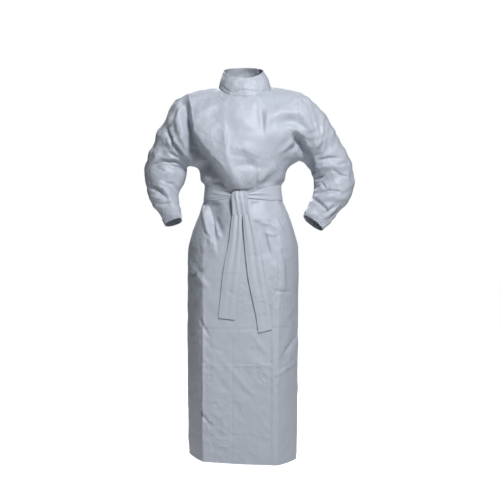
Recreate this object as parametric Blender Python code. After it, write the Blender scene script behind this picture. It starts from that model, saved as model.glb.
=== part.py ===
"""A rear-closing protective gown of coated cloth, worn and belted.

The gown keeps the hollow form that it has when it is worn with the hands on
the hips.  Units are metres, +Z is up, -Y is the front and +X is the right of
the front view.  The origin lies between the shoulders at the base of the neck.

Every piece is a wall of cloth.  A piece is worked out as a grid of points on
its outer face: the panels run in rows from the hem to the shoulder, and the
sleeves, cuffs, collar and belt run in rings.  Pieces that are sewn together
share the points of their seam, each drawn back by half of the seam's gap.
"""

import math
from typing import NamedTuple

import bpy
import numpy as np

# Cloth and seams
WALL = 0.0015           # thickness of every cloth wall
SEAM_DRAW = 0.00018     # each piece's edge is drawn back from its seam by this much
KEY_STEP = 0.00001      # two seam points closer than this are the same point
LEAST_MITRE = 0.70      # limits how long the wall grows where two pieces meet in a corner
CREASE_END = 0.35       # height of a fold at its two ends, as a share of its middle's
TINY = 1e-9             # keeps a division away from zero

# Grid of the panels: columns run from the left side seam to the right one
SHOULDER_COLUMNS = 8    # columns that end in one shoulder seam
NECK_COLUMNS = 12       # columns that end in the neckline
COLUMNS = 2 * SHOULDER_COLUMNS + NECK_COLUMNS
NECK_U = NECK_COLUMNS / COLUMNS
OVERLAP_COLUMNS = 3     # how far each back panel runs past the centre
ARMHOLE_ROWS = 10       # rows from the underarm to the shoulder's tip
WING_POWER = 6          # keeps the cloth that only the seam has close to the seam
WING_FADE = 0.45        # share of the armhole's height over which a wing fades out
DIP_U = -0.05           # column position of the lowest hang of the front
DIP_REACH = 0.80        # distance over which that hang fades, in column positions
FULLNESS = 0.85         # armholes and sleeves are squarer than an ellipse, which has 1
SHOULDER_SAG = 1.8      # a shoulder seam is straight at 1 and falls late, near its tip, above
HANG_START = 0.40       # share of the armhole's height from which cloth hangs from the shoulder
HANG_POWER = 3          # keeps the pull of the armhole's seam close to the seam

# Folded form of the skirt: its section is flat in front and behind
CORNER_U = 0.5          # the column on which a pack fold runs down
CORNER_X = 0.65         # where that fold lies, as a share of the half width
FLANK_ROUND = 0.5       # how far the flanks bulge, from straight at 0 to round at 1
FRONT_SHIFT = -0.024    # the front plane is turned to the left by this much

# Back closure
BACK_LIFT = 0.005       # the right back panel lies this far over the left one
LIFT_START = 0.55       # column position where it starts to rise
LIFT_END = 0.22         # column position where it has risen

# Neck and collar
NECK_CENTRE = (0.007, 0.000, 0.009)
NECK_RADIUS = (0.093, 0.078)
NECK_FALL = 0.6         # slope of the neckline towards the front
NECK_RISE = 0.3         # slope of the neckline towards the back
NECK_BEND = 0.02        # depth over which one slope turns into the other
COLLAR_CENTRE = (0.002, 0.000, 0.069)
COLLAR_RADIUS = (0.070, 0.064)
COLLAR_ROWS = 5
COLLAR_BULGE = 0.004    # the stand swells a little between its two edges

# Waist
BELT_Z = -0.370
BELT_HALF = 0.027       # half of the belt's width
BELT_AT_KNOT = 0.011    # half of its width where it is drawn into the knot
BELT_CLEAR = 0.0012     # space between the gown and the belt
BELT_ROWS = 3
KNOT_U = -0.05          # column position of the knot
KNOT_REACH = 0.06       # the belt is narrowest up to this far from it, in column positions
BELT_SPREAD = 0.45      # it opens to its full width over this distance
LAP_END = 0.62          # column position on the back where the belt lies on the gown again
LAP_SPREAD = 0.30       # distance over which it rises over the lapped panels
GATHER_COUNT = 6        # gathers above and below the belt on each side
GATHER_DEPTH = 0.0035
GATHER_REACH = 0.045    # height over which a gather fades away
GATHER_START = 0.012    # height over which it grows from the belt's edge
GATHER_PHASES = (0.9, 0.2)      # turn of the gathers above and below the belt
GATHER_SECOND = 0.5     # height of a second, wider set of gathers
GATHER_SECOND_PHASE = 2.1
GATHER_INSET = 0.2      # the gathers fade over this distance from a side seam

# Cuffs
CUFF_LENGTH = 0.030
CUFF_ROWS = 3
CUFF_GATHER = 0.0016    # depth of the elastic's gathers
CUFF_NARROW = 0.90      # the cuff's far end against its near end


class BodyRow(NamedTuple):
    """One level round of the gown below the arms."""

    name: str
    z: float
    tilt: float         # how much higher its right end is than its left
    left: float         # x of the left side seam
    right: float        # x of the right side seam
    front: float        # y of the middle of the front
    back: float         # y of the middle of the back
    box: float          # 0 for a round section, 1 for one folded flat
    wing: float         # part of each half width that only the cloth at the seam has
    dip: float          # how far the middle of the front hangs below its ends
    steps: int          # grid rows up to the next level


BODY_ROWS = (
    BodyRow("hem", -1.310, -0.020, -0.1925, 0.1915, -0.140, 0.148, 0.85, 0, 0, 3),
    BodyRow("calf", -1.150, -0.010, -0.1970, 0.1945, -0.141, 0.147, 0.85, 0, 0, 3),
    BodyRow("knee", -0.950, 0, -0.1985, 0.1960, -0.139, 0.144, 0.80, 0, 0, 3),
    BodyRow("thigh", -0.780, 0, -0.1985, 0.1975, -0.137, 0.142, 0.70, 0, 0, 2),
    BodyRow("hip", -0.660, 0, -0.1980, 0.1985, -0.136, 0.141, 0.55, 0, 0, 2),
    BodyRow("seat", -0.573, 0, -0.1965, 0.1975, -0.133, 0.139, 0.40, 0, 0, 2),
    BodyRow("high hip", -0.510, 0, -0.1810, 0.1840, -0.127, 0.132, 0.25, 0, 0, 1),
    BodyRow("flare", -0.455, 0, -0.1600, 0.1660, -0.119, 0.121, 0.10, 0, 0, 1),
    BodyRow("belt under", -0.414, 0, -0.1460, 0.1480, -0.110, 0.109, 0, 0, 0.004, 1),
    BodyRow("belt low", -0.396, 0, -0.1400, 0.1410, -0.105, 0.104, 0, 0, 0.008, 1),
    BodyRow("belt mid", -0.370, 0, -0.1360, 0.1360, -0.102, 0.101, 0, 0, 0.015, 1),
    BodyRow("belt high", -0.3415, 0, -0.1345, 0.1345, -0.101, 0.100, 0, 0, 0.025, 1),
    BodyRow("overhang", -0.3330, 0, -0.1450, 0.1440, -0.113, 0.109, 0, 0, 0.025, 1),
    BodyRow("blouse", -0.322, 0, -0.1520, 0.1505, -0.124, 0.118, 0, 0, 0.023, 1),
    BodyRow("ribs", -0.298, 0, -0.1540, 0.1540, -0.130, 0.121, 0, 0, 0.016, 1),
    BodyRow("side", -0.282, 0, -0.1590, 0.1590, -0.132, 0.122, 0, 0.004, 0.010, 1),
    BodyRow("web", -0.271, 0.006, -0.1720, 0.1730, -0.133, 0.123, 0, 0.016, 0.006, 1),
    BodyRow("underarm", -0.262, 0.020, -0.1930, 0.2010, -0.134, 0.123, 0, 0.036, 0, 0),
)


class ChestRow(NamedTuple):
    """One level of the gown between the underarm and the shoulder."""

    t: float            # 0 at the underarm, 1 at the shoulder's tip
    front: float        # y of the middle of the front
    back: float         # y of the middle of the back
    span: float         # degrees of arc that the row covers on each side


CHEST_ROWS = (
    ChestRow(0.00, -0.134, 0.123, 90.0),
    ChestRow(0.15, -0.136, 0.124, 80.0),
    ChestRow(0.35, -0.137, 0.126, 68.0),
    ChestRow(0.55, -0.130, 0.124, 60.0),
    ChestRow(0.75, -0.112, 0.112, 55.0),
    ChestRow(1.00, -0.078, 0.078, 50.0),
)


class Armhole(NamedTuple):
    """The seam between the body and one sleeve."""

    tip: tuple          # its highest point, on the shoulder
    under: tuple        # its lowest point, under the arm
    pinch: float        # how far it draws in towards the chest half-way up
    depth: float        # how far it reaches forward and back


ARMHOLES = {
    "left": Armhole((-0.200, 0.000, -0.008), (-0.193, 0.000, -0.272), 0.020, 0.086),
    "right": Armhole((0.207, 0.000, -0.012), (0.201, 0.000, -0.252), 0.012, 0.084),
}


class SleeveRing(NamedTuple):
    """One round of a sleeve, seen from the front."""

    outer_x: float      # its point furthest from the body
    outer_z: float
    inner_x: float      # its point nearest to the body
    inner_z: float
    y: float            # how far the ring lies behind the shoulders' line
    half_depth: float   # half of its size from front to back


SLEEVES = {
    "left": (
        SleeveRing(-0.200, -0.008, -0.193, -0.272, 0.000, 0.086),
        SleeveRing(-0.240, -0.039, -0.197, -0.274, 0.004, 0.084),
        SleeveRing(-0.268, -0.074, -0.200, -0.275, 0.012, 0.082),
        SleeveRing(-0.284, -0.112, -0.202, -0.276, 0.020, 0.081),
        SleeveRing(-0.307, -0.151, -0.203, -0.278, 0.030, 0.081),
        SleeveRing(-0.325, -0.193, -0.204, -0.280, 0.040, 0.081),
        SleeveRing(-0.347, -0.236, -0.204, -0.284, 0.048, 0.081),
        SleeveRing(-0.356, -0.279, -0.205, -0.291, 0.050, 0.079),
        SleeveRing(-0.354, -0.319, -0.208, -0.307, 0.045, 0.076),
        SleeveRing(-0.347, -0.352, -0.214, -0.331, 0.035, 0.071),
        SleeveRing(-0.341, -0.382, -0.222, -0.357, 0.022, 0.063),
        SleeveRing(-0.326, -0.412, -0.228, -0.384, 0.010, 0.053),
        SleeveRing(-0.307, -0.436, -0.229, -0.410, 0.002, 0.044),
        SleeveRing(-0.294, -0.458, -0.222, -0.438, -0.006, 0.038),
    ),
    "right": (
        SleeveRing(0.207, -0.012, 0.201, -0.252, 0.000, 0.084),
        SleeveRing(0.244, -0.035, 0.206, -0.253, 0.004, 0.083),
        SleeveRing(0.271, -0.061, 0.211, -0.255, 0.010, 0.081),
        SleeveRing(0.299, -0.094, 0.217, -0.258, 0.020, 0.080),
        SleeveRing(0.324, -0.133, 0.226, -0.265, 0.030, 0.080),
        SleeveRing(0.351, -0.179, 0.236, -0.276, 0.038, 0.080),
        SleeveRing(0.377, -0.225, 0.245, -0.292, 0.045, 0.080),
        SleeveRing(0.398, -0.276, 0.253, -0.312, 0.048, 0.078),
        SleeveRing(0.407, -0.319, 0.258, -0.332, 0.045, 0.075),
        SleeveRing(0.396, -0.357, 0.257, -0.352, 0.036, 0.070),
        SleeveRing(0.381, -0.392, 0.252, -0.372, 0.024, 0.062),
        SleeveRing(0.360, -0.424, 0.246, -0.392, 0.012, 0.053),
        SleeveRing(0.334, -0.452, 0.237, -0.411, 0.004, 0.045),
        SleeveRing(0.308, -0.476, 0.226, -0.432, -0.004, 0.039),
    ),
}
SLEEVE_ROWS = 20


class Crease(NamedTuple):
    """A fold across the cloth, from one end to the other as seen from one side."""

    face: int           # -1 on the front, 1 on the back
    x0: float
    z0: float
    x1: float
    z1: float
    half_width: float
    height: float       # above the cloth, or below it when negative


BODY_CREASES = (
    # the long drag from the left armpit to the knot, and the hollow beside it
    Crease(-1, -0.161, -0.149, -0.065, -0.273, 0.030, 0.013),
    Crease(-1, -0.065, -0.273, -0.012, -0.335, 0.024, 0.010),
    Crease(-1, -0.140, -0.205, -0.090, -0.315, 0.034, -0.016),
    # under the chest, and from the right armpit
    Crease(-1, -0.032, -0.240, 0.053, -0.275, 0.028, -0.011),
    Crease(-1, 0.121, -0.118, 0.201, -0.132, 0.026, -0.009),
    Crease(-1, 0.180, -0.228, 0.150, -0.150, 0.024, -0.011),
    Crease(-1, 0.108, -0.262, 0.066, -0.328, 0.024, -0.010),
    Crease(-1, 0.064, -0.060, 0.077, -0.160, 0.020, -0.009),
    # where the hands press the skirt, and the folds below them
    Crease(-1, 0.073, -0.512, 0.087, -0.600, 0.024, -0.010),
    Crease(-1, -0.120, -0.614, -0.142, -0.705, 0.024, -0.010),
    Crease(-1, 0.180, -0.885, 0.125, -0.955, 0.026, -0.008),
    Crease(-1, -0.150, -0.820, -0.120, -0.870, 0.026, -0.008),
    Crease(-1, -0.150, -1.120, -0.118, -1.175, 0.026, -0.007),
    # the back: drags from both armpits to the belt, and folds in the skirt
    Crease(1, -0.165, -0.165, -0.060, -0.300, 0.030, 0.012),
    Crease(1, 0.170, -0.160, 0.070, -0.305, 0.030, 0.012),
    Crease(1, -0.130, -0.240, -0.080, -0.325, 0.030, -0.012),
    Crease(1, 0.130, -0.235, 0.085, -0.325, 0.030, -0.012),
    Crease(1, -0.110, -0.520, -0.130, -0.690, 0.028, -0.010),
    Crease(1, 0.105, -0.510, 0.135, -0.660, 0.028, -0.010),
    Crease(1, 0.150, -0.860, 0.100, -0.930, 0.026, -0.008),
)

SLEEVE_CREASES = {
    "left": (
        Crease(-1, -0.268, -0.160, -0.205, -0.262, 0.024, -0.014),
        Crease(-1, -0.318, -0.250, -0.215, -0.282, 0.020, -0.010),
        Crease(-1, -0.330, -0.345, -0.268, -0.388, 0.020, -0.010),
        Crease(1, -0.280, -0.150, -0.225, -0.250, 0.024, -0.011),
        Crease(1, -0.330, -0.290, -0.225, -0.300, 0.022, -0.010),
    ),
    "right": (
        Crease(-1, 0.270, -0.210, 0.295, -0.290, 0.022, -0.009),
        Crease(-1, 0.300, -0.300, 0.375, -0.318, 0.020, -0.009),
        Crease(-1, 0.262, -0.368, 0.335, -0.366, 0.020, -0.010),
        Crease(1, 0.285, -0.150, 0.232, -0.240, 0.024, -0.011),
        Crease(1, 0.385, -0.300, 0.265, -0.305, 0.022, -0.010),
    ),
}


class TailRow(NamedTuple):
    """One level of a hanging end of the belt."""

    z: float
    left: float
    right: float
    lift: float         # how far it hangs before the skirt
    pleat: float        # depth of its lengthwise folds


TAILS = {
    "tail_left": (
        TailRow(-0.4508, -0.0370, -0.0030, 0.0100, 0.0035),
        TailRow(-0.4900, -0.0410, -0.0030, 0.0110, 0.0035),
        TailRow(-0.5390, -0.0470, -0.0040, 0.0120, 0.0030),
        TailRow(-0.6140, -0.0620, -0.0090, 0.0120, 0.0022),
        TailRow(-0.6490, -0.0680, -0.0120, 0.0110, 0.0014),
        TailRow(-0.7450, -0.0780, -0.0230, 0.0100, 0.0007),
        TailRow(-0.8100, -0.0850, -0.0270, 0.0085, 0.0004),
    ),
    "tail_right": (
        TailRow(-0.4508, -0.0010, 0.0290, 0.0115, 0.0040),
        TailRow(-0.4836, 0.0010, 0.0390, 0.0125, 0.0038),
        TailRow(-0.5390, 0.0050, 0.0530, 0.0130, 0.0030),
        TailRow(-0.6590, 0.0170, 0.0730, 0.0130, 0.0018),
        TailRow(-0.7450, 0.0340, 0.0870, 0.0120, 0.0010),
        TailRow(-0.8070, 0.0470, 0.0960, 0.0110, 0.0006),
        TailRow(-0.8520, 0.0540, 0.1010, 0.0100, 0.0004),
    ),
}
TAIL_COLUMNS = 6
TAIL_STEPS = 2          # grid rows from one level of a tail to the next


class KnotRow(NamedTuple):
    """One level of the knot."""

    z: float
    left: float
    right: float
    back: float         # how far its back stands before the gown
    front: float        # how far its front stands before the gown


KNOT_ROWS = (
    KnotRow(-0.3680, -0.0260, 0.0090, 0.0050, 0.0130),
    KnotRow(-0.3720, -0.0330, 0.0150, 0.0022, 0.0200),
    KnotRow(-0.3800, -0.0370, 0.0180, 0.0014, 0.0250),
    KnotRow(-0.3920, -0.0380, 0.0190, 0.0014, 0.0260),
    KnotRow(-0.4080, -0.0385, 0.0190, 0.0030, 0.0240),
    KnotRow(-0.4280, -0.0390, 0.0200, 0.0050, 0.0205),
    KnotRow(-0.4500, -0.0375, 0.0210, 0.0080, 0.0180),
)
KNOT_PLEATS = 5         # lengthwise folds on the knot's front
KNOT_PLEAT = 0.0018     # their depth
KNOT_SIDES = 28
KNOT_WIDE = 0.6         # how square the knot's section is at its sides
KNOT_DEEP = 0.7         # and at its front and back, with 1 for round


def smooth(value: float) -> float:
    """Ease from 0 to 1 as the value goes from 0 to 1."""
    value = min(max(value, 0.0), 1.0)
    return value * value * (3.0 - 2.0 * value)


def column_spline(rows, steps):
    """Interpolate the columns of a table smoothly, with so many steps after each row."""
    table = np.array(rows, dtype=float)
    result = []
    for index in range(len(table) - 1):
        before = table[max(index - 1, 0)]
        start = table[index]
        end = table[index + 1]
        after = table[min(index + 2, len(table) - 1)]
        slope_start = limited_slope(start - before, end - start)
        slope_end = limited_slope(end - start, after - end)
        for step in range(steps[index]):
            t = step / steps[index]
            result.append(hermite(start, end, slope_start, slope_end, t))
    result.append(table[-1])
    return np.array(result)


def limited_slope(before, after):
    """Slope of a curve that passes a table's row without running past its neighbours."""
    same_way = before * after > 0.0
    total = np.where(same_way, before + after, 1.0)
    return np.where(same_way, 2.0 * before * after / total, 0.0)


def hermite(start, end, slope_start, slope_end, t):
    """Point at t of the cubic between two values with given slopes."""
    t2 = t * t
    t3 = t2 * t
    return (
        (2 * t3 - 3 * t2 + 1) * start
        + (t3 - 2 * t2 + t) * slope_start
        + (3 * t2 - 2 * t3) * end
        + (t3 - t2) * slope_end
    )


def armhole_point(side: str, face: int, t: float) -> np.ndarray:
    """Point of an armhole's seam, from the underarm at 0 to the shoulder at 1."""
    hole = ARMHOLES[side]
    rise = 0.5 * (1.0 - math.cos(math.pi * t))
    bow = math.sin(math.pi * t)
    point = np.array(hole.under) * (1.0 - rise) + np.array(hole.tip) * rise
    inward = 1.0 if side == "left" else -1.0
    point[0] += inward * hole.pinch * bow * bow
    point[1] += face * hole.depth * max(bow, 0.0) ** FULLNESS
    return point


def ring_point(centre, radius, angle: float, lift: float) -> np.ndarray:
    """Point of a round that falls to the front, at an angle with 270 in front."""
    across = radius[0] * math.cos(math.radians(angle))
    deep = radius[1] * math.sin(math.radians(angle))
    mean = 0.5 * (NECK_FALL + NECK_RISE)
    bend = 0.5 * (NECK_FALL - NECK_RISE)
    height = mean * deep - bend * (math.hypot(deep, NECK_BEND) - NECK_BEND)
    return np.array(centre) + np.array((across, deep + lift, height))


def neck_angle(face: int, u: float) -> float:
    """Angle round the neck of a column of the front (-1) or back (1) panel."""
    return 180.0 - face * 90.0 * (u / NECK_U + 1.0)


def shoulder_line(face: int, u: float) -> np.ndarray:
    """Top edge of a panel: one shoulder seam, the neckline, the other seam."""
    if abs(u) <= NECK_U:
        return ring_point(NECK_CENTRE, NECK_RADIUS, neck_angle(face, u), 0.0)
    side = "left" if u < 0 else "right"
    neck = ring_point(NECK_CENTRE, NECK_RADIUS, 180.0 if u < 0 else 0.0, 0.0)
    tip = np.array(ARMHOLES[side].tip)
    share = (abs(u) - NECK_U) / (1.0 - NECK_U)
    point = neck + (tip - neck) * share
    point[2] = neck[2] + (tip[2] - neck[2]) * share ** SHOULDER_SAG
    return point


def section_point(u, left, right, middle, span, box) -> np.ndarray:
    """Point of one row of a panel between its two ends.

    The row is an arc that covers span degrees on each side of the middle.
    With box it turns into a flat stretch with two straight flanks.
    """
    reach = math.radians(span)
    turn = abs(u) * reach
    across = math.sin(turn) / math.sin(reach)
    drop = (1.0 - math.cos(turn)) / (1.0 - math.cos(reach))
    if abs(u) < CORNER_U:
        flat_across = abs(u) / CORNER_U * CORNER_X
        flat_drop = 0.0
    else:
        flank = (abs(u) - CORNER_U) / (1.0 - CORNER_U)
        quarter = 0.5 * math.pi * flank
        bulge_across = math.sin(quarter) * FLANK_ROUND + flank * (1.0 - FLANK_ROUND)
        flat_across = CORNER_X + (1.0 - CORNER_X) * bulge_across
        flat_drop = (1.0 - math.cos(quarter)) * FLANK_ROUND + flank * (1.0 - FLANK_ROUND)
    across += (flat_across - across) * box
    drop += (flat_drop - drop) * box
    end = left if u < 0 else right
    return np.array((
        middle[0] + (end[0] - middle[0]) * across,
        middle[1] + (end[1] - middle[1]) * drop,
        middle[2] + (end[2] - middle[2]) * across,
    ))


def body_levels() -> np.ndarray:
    """Every grid row below the arms, as the numbers of a BodyRow without its name."""
    numbers = [row[1:10] for row in BODY_ROWS]
    steps = [row.steps for row in BODY_ROWS]
    return column_spline(numbers, steps)


def body_point(face: int, u: float, level) -> np.ndarray:
    """Point of a panel on a row below the arms."""
    z, tilt, left, right, front, back, box, wing, dip = level
    left_end = (left + wing, 0.0, z - 0.5 * tilt)
    right_end = (right - wing, 0.0, z + 0.5 * tilt)
    depth = front if face < 0 else back
    middle = (0.5 * (left + right) - face * FRONT_SHIFT * box, depth, z)
    point = section_point(u, left_end, right_end, middle, 90.0, box)
    point[0] += winged(u, wing)
    if face < 0:
        point[2] -= dip * smooth(1.0 - abs(u - DIP_U) / DIP_REACH)
    return point


def winged(u: float, wing: float) -> float:
    """Shift of the cloth near a seam by the width that only the seam has."""
    return math.copysign(wing * abs(u) ** WING_POWER, u)


def chest_point(face: int, u: float, t: float) -> np.ndarray:
    """Point of a panel on a row beside the armholes."""
    ts = [row.t for row in CHEST_ROWS]
    depth = np.interp(t, ts, [row.front if face < 0 else row.back for row in CHEST_ROWS])
    span = np.interp(t, ts, [row.span for row in CHEST_ROWS])
    left_end = armhole_point("left", face, t)
    right_end = armhole_point("right", face, t)
    rise = 0.5 * (1.0 - math.cos(math.pi * t))
    top = shoulder_line(face, 0.0)
    bottom = BODY_ROWS[-1]
    middle_x = 0.5 * (bottom.left + bottom.right) * (1.0 - rise) + top[0] * rise
    middle = (middle_x, depth, bottom.z * (1.0 - rise) + top[2] * rise)
    wing = bottom.wing * (1.0 - t) ** 3
    turned = smooth(t / WING_FADE)
    near_left = (left_end[0] + wing, left_end[1] * turned, left_end[2])
    near_right = (right_end[0] - wing, right_end[1] * turned, right_end[2])
    side = "left" if u < 0 else "right"
    end = left_end if u < 0 else right_end
    row = section_point(u, near_left, near_right, middle, span, 0.0)
    row[0] += winged(u, wing)
    row[1] += end[1] * (1.0 - turned) * abs(u) ** WING_POWER
    pull = end - np.array(ARMHOLES[side].tip)
    hung = shoulder_line(face, u) + pull * abs(u) ** HANG_POWER
    return row + (hung - row) * smooth((t - HANG_START) / (1.0 - HANG_START))


def back_lift(u: float) -> float:
    """How far the right back panel is raised at a column."""
    return BACK_LIFT * smooth((LIFT_START - u) / (LIFT_START - LIFT_END))


def crease_height(point, normal, creases) -> float:
    """Height of all folds at a point of the cloth that faces along normal."""
    height = 0.0
    for fold in creases:
        along = np.array((fold.x1 - fold.x0, fold.z1 - fold.z0))
        place = np.array((point[0] - fold.x0, point[2] - fold.z0))
        share = float(np.clip(place @ along / (along @ along), 0.0, 1.0))
        off = np.linalg.norm(place - along * share) / fold.half_width
        if off >= 1.0:
            continue
        facing = smooth(2.0 * fold.face * normal[1])
        taper = CREASE_END + (1.0 - CREASE_END) * math.sin(math.pi * share)
        height += fold.height * (1.0 - off * off) ** 2 * taper * facing
    return height


def gather_height(u: float, z: float) -> float:
    """Height of the gathers that the belt draws in above and below itself."""
    edge = abs(z - BELT_Z) - BELT_HALF
    if edge <= 0.0:
        return 0.0
    fade = smooth(edge / GATHER_START) * math.exp(-((edge / GATHER_REACH) ** 2))
    fade *= smooth((1.0 - abs(u)) / GATHER_INSET)
    phase = GATHER_PHASES[0] if z > BELT_Z else GATHER_PHASES[1]
    wave = math.cos(math.pi * GATHER_COUNT * u + phase)
    second = math.cos(math.pi * (GATHER_COUNT - 2) * u + GATHER_SECOND_PHASE * phase)
    return GATHER_DEPTH * (wave + GATHER_SECOND * second) * fade


def surface_normals(grid: np.ndarray, ring: bool) -> np.ndarray:
    """Unit normals of a grid of points, all on its outer side."""
    if ring:
        across = np.roll(grid, -1, axis=1) - np.roll(grid, 1, axis=1)
    else:
        across = np.gradient(grid, axis=1)
    along = np.gradient(grid, axis=0)
    normals = np.cross(across, along)
    normals /= np.maximum(np.linalg.norm(normals, axis=2, keepdims=True), TINY)
    return normals


def turned_out(grid: np.ndarray, normals: np.ndarray, ring: bool) -> float:
    """Give 1 if a grid's normals point away from what it wraps, else -1."""
    if ring:
        centre = grid.mean(axis=1, keepdims=True)
    else:
        centre = np.zeros((1, 1, 3))
        centre[0, 0, 2] = grid[:, :, 2].mean()
    facing = (normals * (grid - centre)).sum()
    return 1.0 if facing > 0 else -1.0


def raised(grid: np.ndarray, ring: bool, creases, fade) -> np.ndarray:
    """Move a grid's points in and out by the folds, and not at all where fade is 0."""
    normals = surface_normals(grid, ring)
    normals *= turned_out(grid, normals, ring)
    result = grid.copy()
    for row in range(grid.shape[0]):
        for column in range(grid.shape[1]):
            height = crease_height(grid[row, column], normals[row, column], creases)
            result[row, column] += normals[row, column] * height * fade[row, column]
    return result


class Cloth:
    """One piece of the gown: the grid of its outer face and how it is closed."""

    def __init__(self, name: str, grid: np.ndarray, ring=False, doubled=False):
        self.name = name
        self.grid = grid
        self.ring = ring            # its columns close on themselves
        self.doubled = doubled      # its first ring has a point between each two of its seam
        self.normals = surface_normals(grid, ring)
        self.sign = turned_out(grid, self.normals, ring)
        self.normals = self.normals * self.sign

    def edges(self):
        """Give the row and column of every point on the piece's open edges."""
        rows, columns = self.grid.shape[:2]
        for row in range(rows):
            for column in range(columns):
                at_end = row in (0, rows - 1)
                at_side = column in (0, columns - 1) and not self.ring
                if at_end or at_side:
                    yield row, column


class Seams:
    """The seam points of all pieces, with the direction of the wall at each."""

    def __init__(self):
        self.normals = {}

    @staticmethod
    def key(point) -> tuple:
        """Name a point by its place."""
        return tuple(int(round(value / KEY_STEP)) for value in point)

    def add_cloth(self, cloth: Cloth):
        """Note the outer normal of a piece at every point of its open edges."""
        for row, column in cloth.edges():
            key = self.key(cloth.grid[row, column])
            self.normals.setdefault(key, []).append(cloth.normals[row, column])

    def wall(self, point) -> np.ndarray:
        """The wall from outside to inside at a seam point, mitred between its pieces."""
        normals = np.array(self.normals[self.key(point)])
        mean = normals.sum(axis=0)
        mean /= np.linalg.norm(mean)
        return -mean * WALL / max(float((normals @ mean).min()), LEAST_MITRE)


def drawn_back(grid: np.ndarray, ring: bool) -> np.ndarray:
    """Shift that opens this piece's half of the gap along each open edge of a grid."""
    shift = np.zeros_like(grid)

    def pull(edge, inside):
        step = inside - edge
        length = np.linalg.norm(step, axis=-1, keepdims=True)
        return SEAM_DRAW * step / np.maximum(length, TINY)

    shift[0] += pull(grid[0], grid[1])
    shift[-1] += pull(grid[-1], grid[-2])
    if not ring:
        shift[:, 0] += pull(grid[:, 0], grid[:, 1])
        shift[:, -1] += pull(grid[:, -1], grid[:, -2])
    return shift


def wall_solid(cloth: Cloth, seams: Seams, colour: str):
    """Build one piece as a closed wall and put it in the scene."""
    grid = cloth.grid
    rows, columns = grid.shape[:2]
    walls = -cloth.normals * WALL
    for row, column in cloth.edges():
        walls[row, column] = seams.wall(grid[row, column])
    if cloth.doubled:
        walls[0, 1::2] = 0.5 * (walls[0, 0::2] + np.roll(walls[0, 0::2], -1, axis=0))
    outer = grid + drawn_back(grid, cloth.ring)
    inner = outer + walls
    outer_points = outer.reshape(-1, 3)
    points = np.concatenate((outer_points, inner.reshape(-1, 3)))
    layer = rows * columns
    wraps = columns if cloth.ring else columns - 1
    faces = []

    def face(*corners):
        faces.append(corners if cloth.sign > 0 else corners[::-1])

    def rim(a, b):
        """Close the wall between two points of an open edge, the same way on both sides."""
        if tuple(grid.reshape(-1, 3)[a]) < tuple(grid.reshape(-1, 3)[b]):
            face(a, b, layer + b)
            face(a, layer + b, layer + a)
        else:
            face(a, b, layer + a)
            face(b, layer + b, layer + a)

    def cell(a, b, c, d):
        """Close one cell of the grid, split the same way outside and inside."""
        if np.linalg.norm(outer_points[a] - outer_points[c]) > \
                np.linalg.norm(outer_points[b] - outer_points[d]):
            a, b, c, d = b, c, d, a
        face(a, b, c)
        face(a, c, d)
        face(layer + c, layer + b, layer + a)
        face(layer + d, layer + c, layer + a)

    for row in range(rows - 1):
        for column in range(wraps):
            right = (column + 1) % columns
            low = row * columns
            high = low + columns
            cell(low + column, low + right, high + right, high + column)
    top = (rows - 1) * columns
    for column in range(wraps):
        right = (column + 1) % columns
        rim(right, column)
        rim(top + column, top + right)
    if not cloth.ring:
        end = columns - 1
        for row in range(rows - 1):
            low = row * columns
            high = low + columns
            rim(low, high)
            rim(high + end, low + end)
    return add_object(cloth.name, points, faces, colour)


def add_object(name: str, points, faces, colour: str):
    """Make a mesh object from points and faces, shaded smooth."""
    mesh = bpy.data.meshes.new(name)
    mesh.from_pydata([tuple(point) for point in points], [], faces)
    mesh.shade_smooth()
    mesh.set_sharp_from_angle(angle=math.radians(50))
    mesh.materials.append(cloth_material(colour))
    item = bpy.data.objects.new(name, mesh)
    bpy.context.scene.collection.objects.link(item)
    return item


COLOURS = {
    "laminate": (0.47, 0.50, 0.54, 1.0),
    "belt laminate": (0.50, 0.53, 0.57, 1.0),
    "cuff elastic": (0.44, 0.47, 0.51, 1.0),
}


def cloth_material(name: str):
    """Coated silver-grey cloth, made once for each name."""
    material = bpy.data.materials.get(name)
    if material:
        return material
    material = bpy.data.materials.new(name)
    material.use_nodes = True
    shader = material.node_tree.nodes["Principled BSDF"]
    shader.inputs["Base Color"].default_value = COLOURS[name]
    shader.inputs["Roughness"].default_value = 0.42
    shader.inputs["Metallic"].default_value = 0.0
    return material


def edge_fade(rows: int, columns: int) -> np.ndarray:
    """Give 0 on a grid's edges, rising to 1 over the next two points."""
    row = np.minimum(np.arange(rows), np.arange(rows)[::-1])
    column = np.minimum(np.arange(columns), np.arange(columns)[::-1])
    nearest = np.minimum(row[:, None], column[None, :])
    return np.clip(nearest / 2.0, 0.0, 1.0)


def panel_grid(face: int) -> np.ndarray:
    """The whole front or back, from the hem up to the shoulders."""
    positions = [-1.0 + 2.0 * column / COLUMNS for column in range(COLUMNS + 1)]
    rows = []
    for level in body_levels():
        row = []
        for u in positions:
            point = body_point(face, u, level)
            outward = np.array((u, face * math.sqrt(max(1.0 - u * u, 0.0)), 0.0))
            row.append(point + outward * gather_height(u, level[0]))
        rows.append(row)
    for step in range(1, ARMHOLE_ROWS + 1):
        t = step / ARMHOLE_ROWS
        rows.append([chest_point(face, u, t) for u in positions])
    grid = np.array(rows)
    return raised(grid, False, BODY_CREASES, edge_fade(*grid.shape[:2]))


def back_panels(whole: np.ndarray):
    """Split the back into two panels, the right one lying over the left one."""
    middle = COLUMNS // 2
    left = whole[:, : middle + OVERLAP_COLUMNS + 1].copy()
    right = whole[:, middle - OVERLAP_COLUMNS:].copy()
    for column in range(right.shape[1]):
        u = -1.0 + 2.0 * (middle - OVERLAP_COLUMNS + column) / COLUMNS
        right[:, column, 1] += back_lift(u)
    return left, right


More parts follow.
